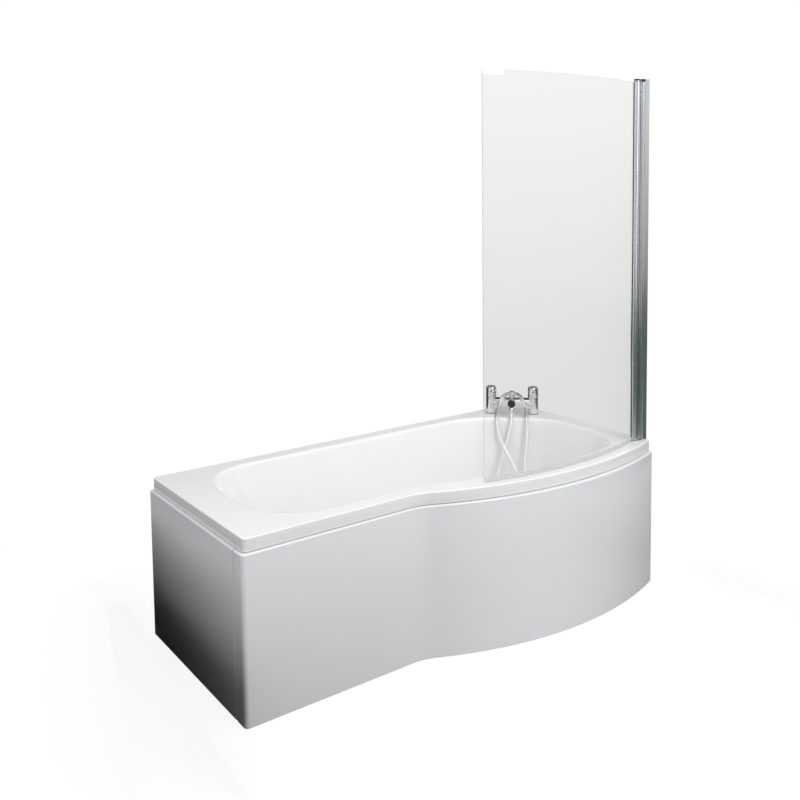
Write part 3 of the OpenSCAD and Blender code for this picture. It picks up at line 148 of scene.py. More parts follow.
def make_piece(name, form, finishes, body="bath", instead_of=(), place=Matrix(), crease=32):
    """Puts a form, given in millimetres, into the scene as a piece of the bath with its finishes."""
    mesh = bpy.data.meshes.new(name)
    mesh.from_pydata([place @ Vector(p) * MM for p in form[0]], [], form[1])
    if len(form) > 2:
        mesh.polygons.foreach_set("material_index", form[2])
    build = bmesh.new()
    build.from_mesh(mesh)
    bmesh.ops.recalc_face_normals(build, faces=build.faces)
    build.to_mesh(mesh)
    build.free()
    mesh.shade_smooth()
    mesh.set_sharp_from_angle(angle=radians(crease))
    for finish in finishes if isinstance(finishes, (list, tuple)) else [finishes]:
        mesh.materials.append(finish)
    piece = bpy.data.objects.new(name, mesh)
    bpy.context.scene.collection.objects.link(piece)
    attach(piece, body)
    if instead_of:
        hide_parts(*instead_of)
    return piece


def feed(tree, node, inputs):
    """Gives each of a node's inputs its value, or the output of another node."""
    for name, value in inputs.items():
        if isinstance(value, bpy.types.NodeSocket):
            tree.links.new(value, node.inputs[name])
        else:
            node.inputs[name].default_value = value


def add(tree, kind, inputs=None, **settings):
    """Adds a shader node of a kind, with its settings and inputs."""
    node = tree.nodes.new("ShaderNode" + kind)
    for name, value in settings.items():
        setattr(node, name, value)
    feed(tree, node, inputs or {})
    return node


def ramp(tree, value, heights, levels, **settings):
    """A value's run from one level to another between two heights."""
    return add(tree, "MapRange", {"Value": value, "From Min": heights[0], "From Max": heights[1],
                                  "To Min": levels[0], "To Max": levels[1]}, **settings).outputs["Result"]


def blended(tree, share, first, second, how="MIX"):
    return add(tree, "Mix", {"Factor": share, "A": first, "B": second}, data_type="RGBA",
               blend_type=how).outputs["Result"]


def new_finish(name):
    """An empty finish, with its tree of nodes and its shader."""
    finish = bpy.data.materials.new(name)
    finish.use_nodes = True
    return finish, finish.node_tree, finish.node_tree.nodes["Principled BSDF"]


def roughened(tree, height, depth):
    """Gives a finish a relief of a depth in metres."""
    bump = add(tree, "Bump", {"Height": height, "Distance": depth})
    feed(tree, tree.nodes["Principled BSDF"], {"Normal": bump.outputs["Normal"]})


def mottled(name, pale, deep, patch, rough, metal=0.0, coat=0.0, grain=0.0, grain_size=0.001,
            stretch=(1, 1, 1)):
    """A finish whose tone and gloss drift between two near values over patches, with a fine grain."""
    finish, tree, shader = new_finish(name)
    place = add(tree, "Mapping", {"Vector": add(tree, "TexCoord").outputs["Object"], "Scale": stretch})
    place = place.outputs["Vector"]
    drift = add(tree, "TexNoise", {"Vector": place, "Scale": 1 / patch, "Detail": 4}).outputs["Fac"]
    feed(tree, shader, {"Metallic": metal, "Coat Weight": coat,
                        "Base Color": blended(tree, drift, (*pale, 1), (*deep, 1)),
                        "Roughness": ramp(tree, drift, (0, 1), rough)})
    if grain:
        fine = add(tree, "TexNoise", {"Vector": place, "Scale": 1 / grain_size, "Detail": 3})
        roughened(tree, fine.outputs["Fac"], grain)
    return finish


def eased(line, radius, closed=False, steps=4):
    """A profile with its corners rounded."""
    out, n = [], len(line)
    for i, point in enumerate(line):
        corner = Vector(point)
        if not closed and i in (0, n - 1):
            out.append(corner)
            continue
        back, on = Vector(line[i - 1]) - corner, Vector(line[(i + 1) % n]) - corner
        turn = back.angle(on)
        if turn > radians(165):
            out.append(corner)
            continue
        cut = min(radius / tan(turn / 2), back.length * 0.48, on.length * 0.48)
        start, end = corner + cut * back.normalized(), corner + cut * on.normalized()
        for k in range(steps + 1):
            t = k / steps
            out.append(start * (1 - t) ** 2 + corner * 2 * t * (1 - t) + end * t ** 2)
    return out


def turned(profile, sides=96, flutes=0, depth=0.0, rows=(0, 0)):
    """A form turned from a profile of radii and heights, with flutes cut between two heights."""
    verts, rings = [], []
    for r, z in profile:
        start = len(verts)
        if r < 0.01:
            verts.append((0, 0, z))
            rings.append([start])
            continue
        for k in range(sides):
            a = 2 * pi * k / sides
            cut = depth * (0.5 - 0.5 * cos(flutes * a)) if rows[0] <= z <= rows[1] else 0.0
            verts.append(((r - cut) * cos(a), (r - cut) * sin(a), z))
        rings.append(list(range(start, start + sides)))
    faces = []
    for low, high in zip(rings, rings[1:]):
        for k in range(sides):
            on = (k + 1) % sides
            if len(low) == 1 and len(high) > 1:
                faces.append((low[0], high[on], high[k]))
            elif len(high) == 1 and len(low) > 1:
                faces.append((low[k], low[on], high[0]))
            elif len(low) > 1:
                faces.append((low[k], low[on], high[on], high[k]))
    return verts, faces


hose_metal = mottled("plated_hose", (0.92, 0.925, 0.93), (0.87, 0.875, 0.885), 0.03, (0.32, 0.4),
                     metal=1.0)
chrome = mottled("chrome_plate", (0.80, 0.81, 0.82), (0.76, 0.77, 0.78), 0.02, (0.035, 0.07), metal=1.0)
wind_pitch = 3.0
wind_depth = 0.55
hose_line = even_line(smooth_line(hose_route, 24), wind_pitch / 6)
hose_line = [tap_frame @ p for p in hose_line]


def wound_strip(gone, turn):
    """The hose's radius: a rounded ridge for each turn of its strip."""
    phase = gone / wind_pitch - turn
    ridge = abs(sin(pi * (phase - floor(phase))))
    return hose_d / 2 - wind_depth * (1 - ridge ** 0.6)


shower_hose = make_piece("wound_shower_hose", skin(tube_rings(hose_line, wound_strip, 14)), hose_metal,
                         instead_of=["shower_hose"], crease=60)
nut_foot_r = hose_d / 2 + 1
nut_profile = eased([(0, 0), (nut_foot_r, 0), (nut_foot_r + 1.1, 6.5), (nut_foot_r + 0.6, 7.2),
                     (nut_foot_r + 1.0, 7.9), (nut_top_r, 12.0), (nut_top_r, nut_l), (0, nut_l)], 0.6)
outlet_place = Matrix.Translation((0, -outlet_reach, spout_z)) @ Matrix.Rotation(-outlet_tilt, 4, "X")
tap_nut = make_piece("cone_nut_at_tap", turned(nut_profile, 120, 20, 0.5, (12.4, nut_l - 0.8)), chrome,
                     instead_of=["hose_nut_tap"],
                     place=tap_frame @ outlet_place @ Matrix.Translation((0, 0, -outlet_drop - nut_l)))
handset_place = tap_frame @ Matrix.Translation(handset_from) @ Matrix.Rotation(-handset_turn, 4, "Z")
along_handset = handset_place @ Matrix.Rotation(radians(90), 4, "X")
handset_nut_l = 22
handset_nut = make_piece("cone_nut_at_handset",
                         turned([(r, z * handset_nut_l / nut_l) for r, z in nut_profile], 120, 20, 0.5,
                                (13.4, handset_nut_l - 0.8)),
                         chrome, instead_of=["hose_nut_handset"], place=along_handset)

# Bath shell: one sheet of white acrylic, drawn hot into a mould over its whole depth, then sprayed with
# chopped glass and resin from behind. The rim turns down into a lip, and the wide end bulges forwards
# in one arc out of a hollow. The waste, the overflow and the tap's two tails pass through drilled holes.
rim_z = 555
panel_line = (-850, 850, 425, -275, 150, 400, 1300, 200, 6, 6, 6, 10, 14, 14)
rim_line = (-840, 850, 425, -265, 144, 400, 1400, 200, 10, 10, 10, 16, 14, 14)
well_line = (-709, 777, 358, -195, 115, 380, 1250, 300, 240, 330, 200, 200, 200, 200)
shell_t, lip_drop, lip_r, edge_r = 6, 41, 4, 14
wall_lean, back_lean, floor_r = 42, 190, 70
floor_z = 150
wall_top_z, wall_foot_z = rim_z - edge_r, floor_z + floor_r
waste_at = Vector((400, 30))
waste_hole_r, dish_r, dish_edge_r, dish_drop = 25, 38, 50, 4
tap_hole_r, tap_half, overflow_hole_r = 14.5, 90, 25


def arc(cx, cy, r, a0, a1, n, skip=0):
    """Points of an arc between two angles in degrees, without the first ones where skip says so."""
    turns = [radians(a0 + (a1 - a0) * k / n) for k in range(skip, n + 1)]
    return [(cx + r * cos(a), cy + r * sin(a)) for a in turns]


def inset(o, d, lean=0.0):
    """An outline moved inwards by d, with its narrow end moved by lean more. Its values are the left and
    right x, the back and front y, the bulge, its apex and radius, the hollow's radius, the corner cut, and
    the radii of that cut's two fillets and of the front right, front left and back left corners."""
    return (o[0] + d + lean, o[1] - d, o[2] - d, o[3] + d, o[4], o[5], o[6] - d, o[7] + d,
            max(o[8] - d * (2 - sqrt(2)), 1), *[max(r - d, 1) for r in o[9:]])


def bulge_centre(o):
    return o[3] - o[4] + o[6]


def hollow_reach(o):
    return sqrt(2 * o[4] * (o[6] + o[7]) - o[4] ** 2)


def front_line(o, end_a):
    """The front from where its hollow starts to the bulge's point at an angle past its apex."""
    reach = hollow_reach(o)
    turn = degrees(asin(reach / (o[6] + o[7])))
    return (arc(o[5] - reach, o[3] - o[7], o[7], 90, 90 - turn, 28)
            + arc(o[5], bulge_centre(o), o[6], -90 - turn, -90 + end_a, 84, 1))


def outline(o):
    """The whole outline, counter-clockwise seen from above."""
    turn = degrees(asin((o[1] - o[11] - o[5]) / (o[6] - o[11])))
    corner_y = bulge_centre(o) - (o[6] - o[11]) * cos(radians(turn))
    cut_x, left_x = o[1] - o[8] - o[9] * tan(radians(22.5)), o[0] + o[13]
    back_steps, side_steps = 24, 10
    line = arc(o[0] + o[12], o[3] + o[12], o[12], 180, 270, 20)
    crease_x = o[5] - hollow_reach(o)
    line += [(line[-1][0] + (crease_x - line[-1][0]) * k / side_steps, o[3]) for k in range(1, side_steps)]
    line += front_line(o, turn)
    line += arc(o[1] - o[11], corner_y, o[11], -90 + turn, 0, 20, 1)
    line += arc(o[1] - o[10], o[2] - o[8] - o[10] * tan(radians(22.5)), o[10], 0, 45, 16)
    line += arc(cut_x, o[2] - o[9], o[9], 45, 90, 16)
    line += [(cut_x + (left_x - cut_x) * k / back_steps, o[2]) for k in range(1, back_steps)]
    line += arc(left_x, o[2] - o[13], o[13], 90, 180, 20)
    low_y, top_y = o[3] + o[12], line[-1][1]
    return line + [(o[0], top_y + (low_y - top_y) * k / side_steps) for k in range(1, side_steps)]


def at_height(line, z):
    return [(x, y, z) for x, y in line]


def level(o, d, z, lean=0.0):
    return at_height(outline(inset(o, d, lean)), z)


def wall_ring(share, d):
    """A level of the well's wall, from its top at 0 to its foot at 1, with d the distance off its face."""
    z = wall_top_z + (wall_foot_z - wall_top_z) * share
    return level(well_line, wall_lean * share + d, z, back_lean * share ** 1.15)


foot_swell = 1.15 * back_lean * floor_r / (wall_top_z - wall_foot_z) / 2


def floor_ring(a, d):
    """A level of the rounding between wall and floor. The backrest runs out into it without a ledge."""
    run = wall_lean + d + (floor_r - d) * (1 - cos(radians(a)))
    return level(well_line, run, wall_foot_z - (floor_r - d) * sin(radians(a)),
                 back_lean + foot_swell * sin(radians(2 * a)))


def edge_ring(a, d):
    run = -edge_r + (edge_r + d) * cos(radians(a))
    return level(well_line, run, wall_top_z + (edge_r + d) * sin(radians(a)))


def lip_ring(a, d):
    r = max(lip_r - d, 1)
    return level(rim_line, d + r - r * cos(radians(a)), rim_z - d - r + r * sin(radians(a)))


foot_line = outline(inset(well_line, wall_lean + floor_r, back_lean))


def waste_ring(r, z):
    """A circle round the waste whose points look towards those of the floor's edge."""
    looks = [atan2(y - waste_at.y, x - waste_at.x) for x, y in foot_line]
    return [(waste_at.x + r * cos(a), waste_at.y + r * sin(a), z) for a in looks]


def half_way(outer, inner, share, z):
    return [(a[0] + (b[0] - a[0]) * share, a[1] + (b[1] - a[1]) * share, z) for a, b in zip(outer, inner)]


dish_z = floor_z - dish_drop
deck_in, deck_out = outline(inset(well_line, -edge_r - 1)), outline(inset(rim_line, lip_r + 1))
face_rings = [waste_ring(r, z) for r, z in (
    (waste_hole_r, dish_z), (dish_r - 1, dish_z), (dish_r + 2, dish_z + 0.5),
    (dish_edge_r - 4, floor_z - 0.9), (dish_edge_r + 1, floor_z - 0.1),
)]
face_rings += [half_way(waste_ring(dish_edge_r + 6, 0), at_height(foot_line, 0), s, floor_z)
               for s in (0, 0.3, 0.6, 0.9, 0.985)]
face_rings += [floor_ring(a, 0) for a in range(90, 13, -6)]
face_rings += [wall_ring(s / 20, 0) for s in range(20, 0, -1)]
face_rings += [edge_ring(a, 0) for a in (3, 14, 26, 38, 50, 62, 74, 84, 90)]
face_rings += [half_way(deck_in, deck_out, s, rim_z) for s in (0, 0.25, 0.5, 0.75, 1)]
face_rings += [lip_ring(a, 0) for a in (90, 80, 68, 56, 44, 32, 20, 8, 0)]
lip_foot_z = rim_z - lip_drop
face_rings += [level(rim_line, d, z)
               for d, z in ((0, wall_top_z), (0, lip_foot_z + 1.5), (0.4, lip_foot_z + 0.4))]
back_rings = [level(rim_line, d, lip_foot_z + up)
              for d, up in ((1.2, 0), (shell_t - 0.6, 0), (shell_t, 1))]
back_rings += [lip_ring(a, shell_t) for a in (0, 30, 60, 90)]
back_rings += [edge_ring(a, -shell_t) for a in (90, 60, 30)]
back_rings += [wall_ring(s / 10, -shell_t) for s in range(11)]
back_rings += [floor_ring(a, -shell_t) for a in (20, 40, 60, 75, 90)]
back_rings += [waste_ring(dish_edge_r, floor_z - shell_t), waste_ring(dish_r, dish_z - shell_t),
               waste_ring(waste_hole_r, dish_z - shell_t)]
shell_form = skin(face_rings + back_rings, looped=True)
ring_n = len(foot_line)
shell_sides = [0 if i < len(face_rings) * ring_n else 1 for i in range(len(shell_form[1]))]


def machined(piece, forms, operation):
    """Cuts forms out of a piece, or unites them with it, and leaves no modifier on it."""
    tools = []
    for form, place in forms:
        mesh = bpy.data.meshes.new("tool")
        mesh.from_pydata([place @ Vector(p) * MM for p in form[0]], [], form[1])
        tool = bpy.data.objects.new("tool", mesh)
        bpy.context.scene.collection.objects.link(tool)
        tools.append(tool)
        step = piece.modifiers.new("step", "BOOLEAN")
        step.object, step.operation, step.solver = tool, operation, "EXACT"
    done = bpy.data.meshes.new_from_object(piece.evaluated_get(bpy.context.evaluated_depsgraph_get()))
    piece.modifiers.clear()
    piece.data = done
    if operation == "UNION":
        done.shade_smooth()
    done.set_sharp_from_angle(angle=radians(32))
    for tool in tools:
        bpy.data.objects.remove(tool)


def rod(r, z0, z1, sides=64):
    return turned([(0, z0), (r, z0), (r, z1), (0, z1)], sides)


def resin_back():
    """The rough back of the shell: chopped glass strands laid every way under cured resin."""
    finish = mottled("resin_and_glass", (0.80, 0.79, 0.72), (0.68, 0.67, 0.60), 0.05, (0.42, 0.62))
    tree = finish.node_tree
    strands = add(tree, "TexVoronoi", {"Vector": tree.nodes["Mapping"].outputs["Vector"], "Scale": 140,
                                       "Randomness": 1.0}, feature="DISTANCE_TO_EDGE")
    roughened(tree, strands.outputs["Distance"], 0.0012)
    return finish


acrylic = mottled("bath_acrylic", (0.86, 0.86, 0.845), (0.835, 0.838, 0.825), 0.4, (0.09, 0.15), coat=0.35,
                  grain=0.00012, grain_size=0.05)
bath_shell = make_piece("moulded_shell", (*shell_form, shell_sides), [acrylic, resin_back()],
                        instead_of=["bath_shell"], crease=40)
overflow_drop = 75
overflow_lean = wall_lean * (overflow_drop - edge_r) / (wall_top_z - wall_foot_z)
overflow_at = Vector((well_line[5], well_line[3] - well_line[4] + overflow_lean, rim_z - overflow_drop))
overflow_tilt = atan2(wall_lean, wall_top_z - wall_foot_z)
overflow_place = Matrix.Translation(overflow_at) @ Matrix.Rotation(overflow_tilt - radians(90), 4, "X")
hole_form = rod(tap_hole_r, -20, 10)
holes = [(hole_form, tap_frame @ Matrix.Translation((side * tap_half, 0, 0))) for side in (-1, 1)]
holes.append((rod(overflow_hole_r, -20, 20), overflow_place))
machined(bath_shell, holes, "DIFFERENCE")

# Boards: a chipboard base bonded in resin under the well's floor, timber battens under the rim and a
# chipboard piece under the tap's corner stiffen the shell, and sawn battens on the floor stop the
# panels' feet. They are raw boards and timber, fixed with screws.


def dress(finish, *nodes):
    """Gives pieces that keep their own shape a finish."""
    for node in nodes:
        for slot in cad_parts[node].material_slots:
            slot.material = finish


def overlaid(finish, kind, inputs, share, how, **settings):
    """Lays a pattern's colour over a finish."""
    tree = finish.node_tree
    pattern = add(tree, kind, {"Vector": tree.nodes["Mapping"].outputs["Vector"], **inputs}, **settings)
    tone = blended(tree, share, tree.nodes["Mix"].outputs["Result"], pattern.outputs["Color"], how)
    feed(tree, tree.nodes["Principled BSDF"], {"Base Color": tone})
    return finish


softwood = mottled("sawn_softwood", (0.74, 0.56, 0.36), (0.60, 0.42, 0.25), 0.025, (0.62, 0.82), grain=0.0004,
                   grain_size=0.004, stretch=(0.12, 1, 1.4))
overlaid(softwood, "TexWave", {"Scale": 60, "Distortion": 6, "Detail": 3}, 0.35, "MULTIPLY",
         wave_type="RINGS")
chips = mottled("pressed_chips", (0.70, 0.56, 0.38), (0.56, 0.42, 0.27), 0.006, (0.6, 0.8), grain=0.0003,
                grain_size=0.002)
overlaid(chips, "TexVoronoi", {"Scale": 260}, 0.5, "SOFT_LIGHT")
dress(softwood, "rim_battens", "panel_battens")
dress(chips, "baseboard", "tap_deck_board")

# Legs: three bars of folded, zinc-plated steel are screwed across under the baseboard. Each stands on
# two M10 studs, locked by a nut above and below the bar, and each stud is moulded into a plastic foot.
zinc = mottled("zinc_plate", (0.62, 0.64, 0.66), (0.50, 0.52, 0.55), 0.012, (0.28, 0.42), metal=1.0)
black_plastic = mottled("black_plastic", (0.022, 0.022, 0.024), (0.034, 0.034, 0.036), 0.02, (0.36, 0.5),
                        grain=0.0001, grain_size=0.0012)
dress(zinc, "leg_bars", "leg_nuts", "wall_brackets", "panel_clips", "fixing_screws")


def well_front_y(x):
    apex, r = well_line[5], well_line[6]
    if x < apex - hollow_reach(well_line):
        return well_line[3]
    return bulge_centre(well_line) - sqrt(r * r - (x - apex) ** 2)


def well_back_y(x):
    return min(well_line[2], well_line[1] + well_line[2] - well_line[8] - x)


bar_w, bar_clear, stud_in = 40, 18, 24
stud_places = []
for bar_x in (well_line[5] - 640, well_line[5] - 270, well_line[5] + 210):
    stud_places.append((bar_x, well_front_y(bar_x) + bar_clear + stud_in))
    stud_places.append((bar_x, well_back_y(bar_x + bar_w / 2) - bar_clear - stud_in))


def threaded(r, depth, pitch, z0, z1, sides=16):
    """A rod with a screw thread from one height to another."""
    count = ceil((z1 - z0) / pitch * 4)
    line = [Vector((0, 0, z0 + (z1 - z0) * k / count)) for k in range(count + 1)]

    def thread(gone, turn):
        phase = gone / pitch - turn
        fade = min(1, gone / pitch, (z1 - z0 - gone) / pitch)
        return r - depth * fade * abs(2 * (phase - floor(phase)) - 1)

    return skin(tube_rings(line, thread, sides))


def joined(forms):
    """Several forms as one, from pairs of a form and its place."""
    verts, faces = [], []
    for form, place in forms:
        start = len(verts)
        verts += [place @ Vector(p) for p in form[0]]
        faces += [tuple(start + i for i in face) for face in form[1]]
    return verts, faces


stud_r, stud_foot_z, stud_top_z = 5, 8, 138
at_studs = [Matrix.Translation((x, y, 0)) for x, y in stud_places]
stud_form = threaded(stud_r, 0.6, 1.5, stud_foot_z, stud_top_z)
make_piece("threaded_studs", joined([(stud_form, place) for place in at_studs]), zinc,
           instead_of=["leg_studs"])
foot_r, foot_boss_r, foot_h, boss_top = 25, 11, 8, 24
foot_profile = eased([(0, 0), (foot_r, 0), (foot_r, foot_h - 2.5), (foot_r - 3, foot_h),
                      (foot_boss_r + 1, foot_h), (foot_boss_r, boss_top), (stud_r + 0.2, boss_top),
                      (stud_r + 0.1, stud_foot_z + 0.1), (0, stud_foot_z + 0.1)], 0.8)
foot_form = turned(foot_profile, 64, 16, 1.0, (foot_h + 1.5, boss_top - 2))
make_piece("moulded_feet", joined([(foot_form, place) for place in at_studs]), black_plastic,
           instead_of=["leg_feet"])

# Panels: gloss white acrylic sheet, pressed to the rim's own curve, closes the front and the narrow end.
# Each panel stands on the floor, and its top edge rolls into a flange that clips hold behind the lip.
# The front panel returns round the near corner to a seam with black foam tape behind it; the tape's black is
# also painted shade that darkens the seam.
panel_h, panel_t, panel_flange, panel_edge_r, panel_return = 512, 4, 36, 5, 57
inner_r = panel_edge_r - panel_t
seam_r, seam_ease = 3, 1.5
panel_section = [(0.8, 0), (0, 0.8), (0, 260), (0, panel_h - panel_edge_r)]
panel_section += arc(panel_edge_r, panel_h - panel_edge_r, panel_edge_r, 180, 90, 9, 1)
panel_section += [(20, panel_h), (panel_flange - 0.6, panel_h), (panel_flange, panel_h - 0.6),
                  (panel_flange, panel_h - panel_t)]
panel_section += arc(panel_edge_r, panel_h - panel_edge_r, inner_r, 90, 180, 3)
panel_section += [(panel_t, 260), (panel_t, 0.5), (panel_t - 0.5, 0)]


def seam_edge(d):
    """The eased end of a panel beside the seam: how far in from its end, and how far back from its face."""
    turns = [radians(a) for a in (90, 70, 50, 30, 0)]
    return [(seam_r * (1 - sin(a)), max(d, seam_r * (1 - cos(a)))) for a in turns]


def panel_path(d):
    o, r = inset(panel_line, d), max(14 - d, 0.5)
    end_a = degrees(asin((panel_line[1] - o[5]) / o[6]))
    start_y = panel_line[3] + panel_return - seam_ease
    path = [(panel_line[0] + back, start_y - in_by) for in_by, back in seam_edge(d)]
    path += [(o[0], start_y - seam_r - 1), (o[0], start_y - 20)]
    path += arc(o[0] + r, o[3] + r, r, 180, 270, 16)
    crease_x = o[5] - hollow_reach(o)
    path += [(o[0] + r + (crease_x - o[0] - r) * k / 24, o[3]) for k in range(1, 24)]
    return path + front_line(o, end_a)


panel_paths = [panel_path(d) for d, z in panel_section]
panel_rings = [[(*panel_paths[j][k], z) for j, (d, z) in enumerate(panel_section)]
               for k in range(len(panel_paths[0]))]
panel_acrylic = mottled("panel_acrylic", (0.80, 0.806, 0.815), (0.785, 0.792, 0.80), 0.5, (0.07, 0.12),
                        coat=0.3, grain=0.00010, grain_size=0.08)
make_piece("curved_front_panel", skin(panel_rings), panel_acrylic,
           instead_of=["front_panel"])
end_start, end_stop = panel_line[3] + panel_return + 1 + seam_ease, panel_line[2]
end_long = end_stop - end_start
end_edges = [seam_edge(d) for d, z in panel_section]
end_rings = [[(panel_line[0] + end_edges[j][k][1], end_start + end_edges[j][k][0], z)
              for j, (d, z) in enumerate(panel_section)] for k in range(5)]
end_rings += [[(panel_line[0] + d, end_start + y, z) for d, z in panel_section]
              for y in (seam_r + 1, 20, 140, 280, 420, 560, end_long - 1, end_long)]
make_piece("flat_end_panel", skin(end_rings), panel_acrylic, instead_of=["end_panel"])
# Foam tape behind the seam; its deep black also serves as painted shade in the seam's gap, so it reads as a
# dark line.
seam_shade_foam = mottled("black_foam_seam_shade", (0.012, 0.012, 0.012), (0.018, 0.018, 0.018), 0.003, (0.8, 0.95))
tape_x, tape_y = panel_line[0] + panel_t + 0.1, panel_line[3] + panel_return + 0.5
tape = [(tape_x, tape_y - 9), (tape_x + 1.5, tape_y - 9), (tape_x + 1.5, tape_y + 9), (tape_x, tape_y + 9)]
tape_rings = [at_height(tape, z) for z in (2, panel_h - panel_edge_r - 1)]
make_piece("seam_tape", skin(tape_rings), seam_shade_foam)

# Waste: a chrome-plated flange lies in the floor's dish on a rubber seal. Its tail screws down through
# the plastic body under the shell. The press plug slides in a brass guide, over a spring of wound wire.
grey_plastic = mottled("grey_plastic", (0.16, 0.165, 0.17), (0.12, 0.125, 0.13), 0.02, (0.35, 0.5),
                       grain=0.0001, grain_size=0.0015)
rubber = mottled("black_rubber", (0.03, 0.03, 0.03), (0.05, 0.05, 0.05), 0.008, (0.6, 0.8), grain=0.0001,
                 grain_size=0.001)
brass = mottled("turned_brass", (0.78, 0.56, 0.26), (0.68, 0.47, 0.20), 0.01, (0.2, 0.32), metal=1.0)
dress(rubber, "waste_seal", "waste_under_seal", "plug_seal", "overflow_seal", "tap_washers")
dress(grey_plastic, "waste_body", "waste_backnut", "overflow_body")
dress(brass, "plug_guide", "tap_backnuts", "ceramic_valves", "hot_spindle", "cold_spindle", "diverter_stem")
dress(chrome, "waste_flange", "overflow_cover", "overflow_screw")
at_waste = Matrix.Translation((*waste_at, 0))
spring_z, spring_l, spring_r, wire_r, coils = 125, 19.9, 5.55, 0.7, 6
spring_line = [Vector((spring_r * cos(2 * pi * k / 24), spring_r * sin(2 * pi * k / 24),
                       spring_z + wire_r + (spring_l - 2 * wire_r) * k / (24 * coils)))
               for k in range(24 * coils + 1)]
plug_spring = make_piece("wound_spring", skin(tube_rings(spring_line, lambda gone, turn: wire_r, 10)), zinc,
                         instead_of=["plug_spring"], place=at_waste)
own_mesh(plug_spring)
plug_disc_z, plug_r = 159.8, 31
stem_r, stop_r, stop_z, collar_r, collar_z = 4, 6, 112.7, 6.7, 145
plug_profile = eased([(0, stop_z), (stop_r, stop_z), (stop_r, stop_z + 2), (stem_r, stop_z + 2),
                      (stem_r, collar_z), (collar_r, collar_z), (collar_r, collar_z + 2),
                      (stem_r, collar_z + 2), (stem_r, plug_disc_z),
                      (plug_r, plug_disc_z), (plug_r, plug_disc_z + 2.4), (27, plug_disc_z + 3.8),
                      (15.5, plug_disc_z + 4.8), (0, plug_disc_z + 5.2)], 0.5)
make_piece("press_plug", turned(plug_profile), chrome, body="plug", instead_of=["waste_plug"],
           place=at_waste)

# Overflow: a chrome cover on the well's front wall hides its hole, and a plastic body behind it catches
# the water. A corrugated hose of grey plastic runs from it down behind the wall and in under the well's
# floor to the waste.
spigot_back, overflow_spigot, hose_lead = 27, 75, 10
spigot_dir = Vector((0, sin(overflow_tilt), -cos(overflow_tilt)))
drain_from = (overflow_at - spigot_back * Vector((0, cos(overflow_tilt), sin(overflow_tilt)))
              + overflow_spigot * spigot_dir)
inlet_dir = Vector((sin(radians(4)), -cos(radians(4)), 0))
inlet_z, inlet_reach = 121, 52
drain_to = Vector((*waste_at, inlet_z)) + inlet_reach * inlet_dir
bend_r = floor_r + shell_t + 14 + 4
bend_y = well_line[3] - well_line[4] + wall_lean + floor_r
drain_route = [drain_from, drain_from + hose_lead * spigot_dir, drain_from + Vector((1, 8, -64)),
               drain_from + Vector((3, 14, -110))]
for a in range(12, 91, 13):
    drain_route.append(Vector((overflow_at.x + 6 + 22 * a / 90, bend_y - bend_r * cos(radians(a)),
                               wall_foot_z - bend_r * sin(radians(a)))))
under_from = Vector((overflow_at.x + 28, bend_y, wall_foot_z - bend_r))
drain_route += [under_from.lerp(Vector((drain_to.x, drain_to.y, inlet_z)), s) for s in (0.35, 0.6, 0.82)]
drain_route += [drain_to + hose_lead * inlet_dir, drain_to]
drain_line = even_line(smooth_line(drain_route, 16), 1.25)
drain_length = sum((b - a).length for a, b in zip(drain_line, drain_line[1:]))
cuff_l, cuff_r, rib_r, rib_h, rib_pitch, drain_bore_r = 14, 13.9, 13.2, 0.75, 5, 11.5


def corrugated(gone, turn):
    """The drain hose's outer radius: round ribs between two plain cuffs."""
    if gone < cuff_l or gone > drain_length - cuff_l:
        return cuff_r
    return rib_r + rib_h * cos(2 * pi * (gone - cuff_l) / rib_pitch)


grey_hose = mottled("grey_hose", (0.30, 0.31, 0.32), (0.25, 0.26, 0.27), 0.03, (0.4, 0.55))
outer_rings = tube_rings(drain_line, corrugated, 28)
inner_rings = tube_rings(drain_line, lambda gone, turn: drain_bore_r, 28)
make_piece("corrugated_drain_hose", skin(outer_rings + inner_rings[::-1], looped=True), grey_hose,
           instead_of=["overflow_hose"], crease=50)

# Trap: a white bottle trap under the waste holds the water seal. It is moulded polypropylene, with a
# union nut above, an access cap below and a nut on its outlet for the waste pipe.
white_plastic = mottled("white_plastic", (0.80, 0.80, 0.78), (0.76, 0.76, 0.74), 0.03, (0.3, 0.42),
                        grain=0.00008, grain_size=0.002)
dress(white_plastic, "trap_body", "trap_union_nut", "trap_cap", "trap_outlet_nut")

# Tap: a cast brass body with two pillars, a cross bar and a spout, ground, polished and chrome plated.
# Its threaded tails pass through the corner deck and are held by back nuts. The spout carries a black
# aerator, and its underside an outlet for the hose.
pillar_r, washer_t, handle_z, handle_h, handle_gap = 22, 2, 74, 44, 0.4
bar_r, bar_low_z, bar_top_z = 20, 37, 48
tail_r, tail_l, tail_free, groove_w = 13.2, 75, 32, 2
boss_r, boss_z, aerator_t, spout_back = 12, 74, 5, 10.4


def lying(z, y=0.0):
    """A place whose own Z lies along the tap's -Y, towards the bath."""
    return Matrix.Translation((0, y, z)) @ Matrix.Rotation(radians(90), 4, "X")


def aside(x):
    return Matrix.Translation((x, 0, 0))


def cast_together(name, forms, place, instead_of):
    """One plated casting of several forms, each with its place: they are united into one skin."""
    piece = make_piece(name, forms[0][0], chrome, place=place @ forms[0][1], instead_of=instead_of)
    machined(piece, [(form, place @ at) for form, at in forms[1:]], "UNION")


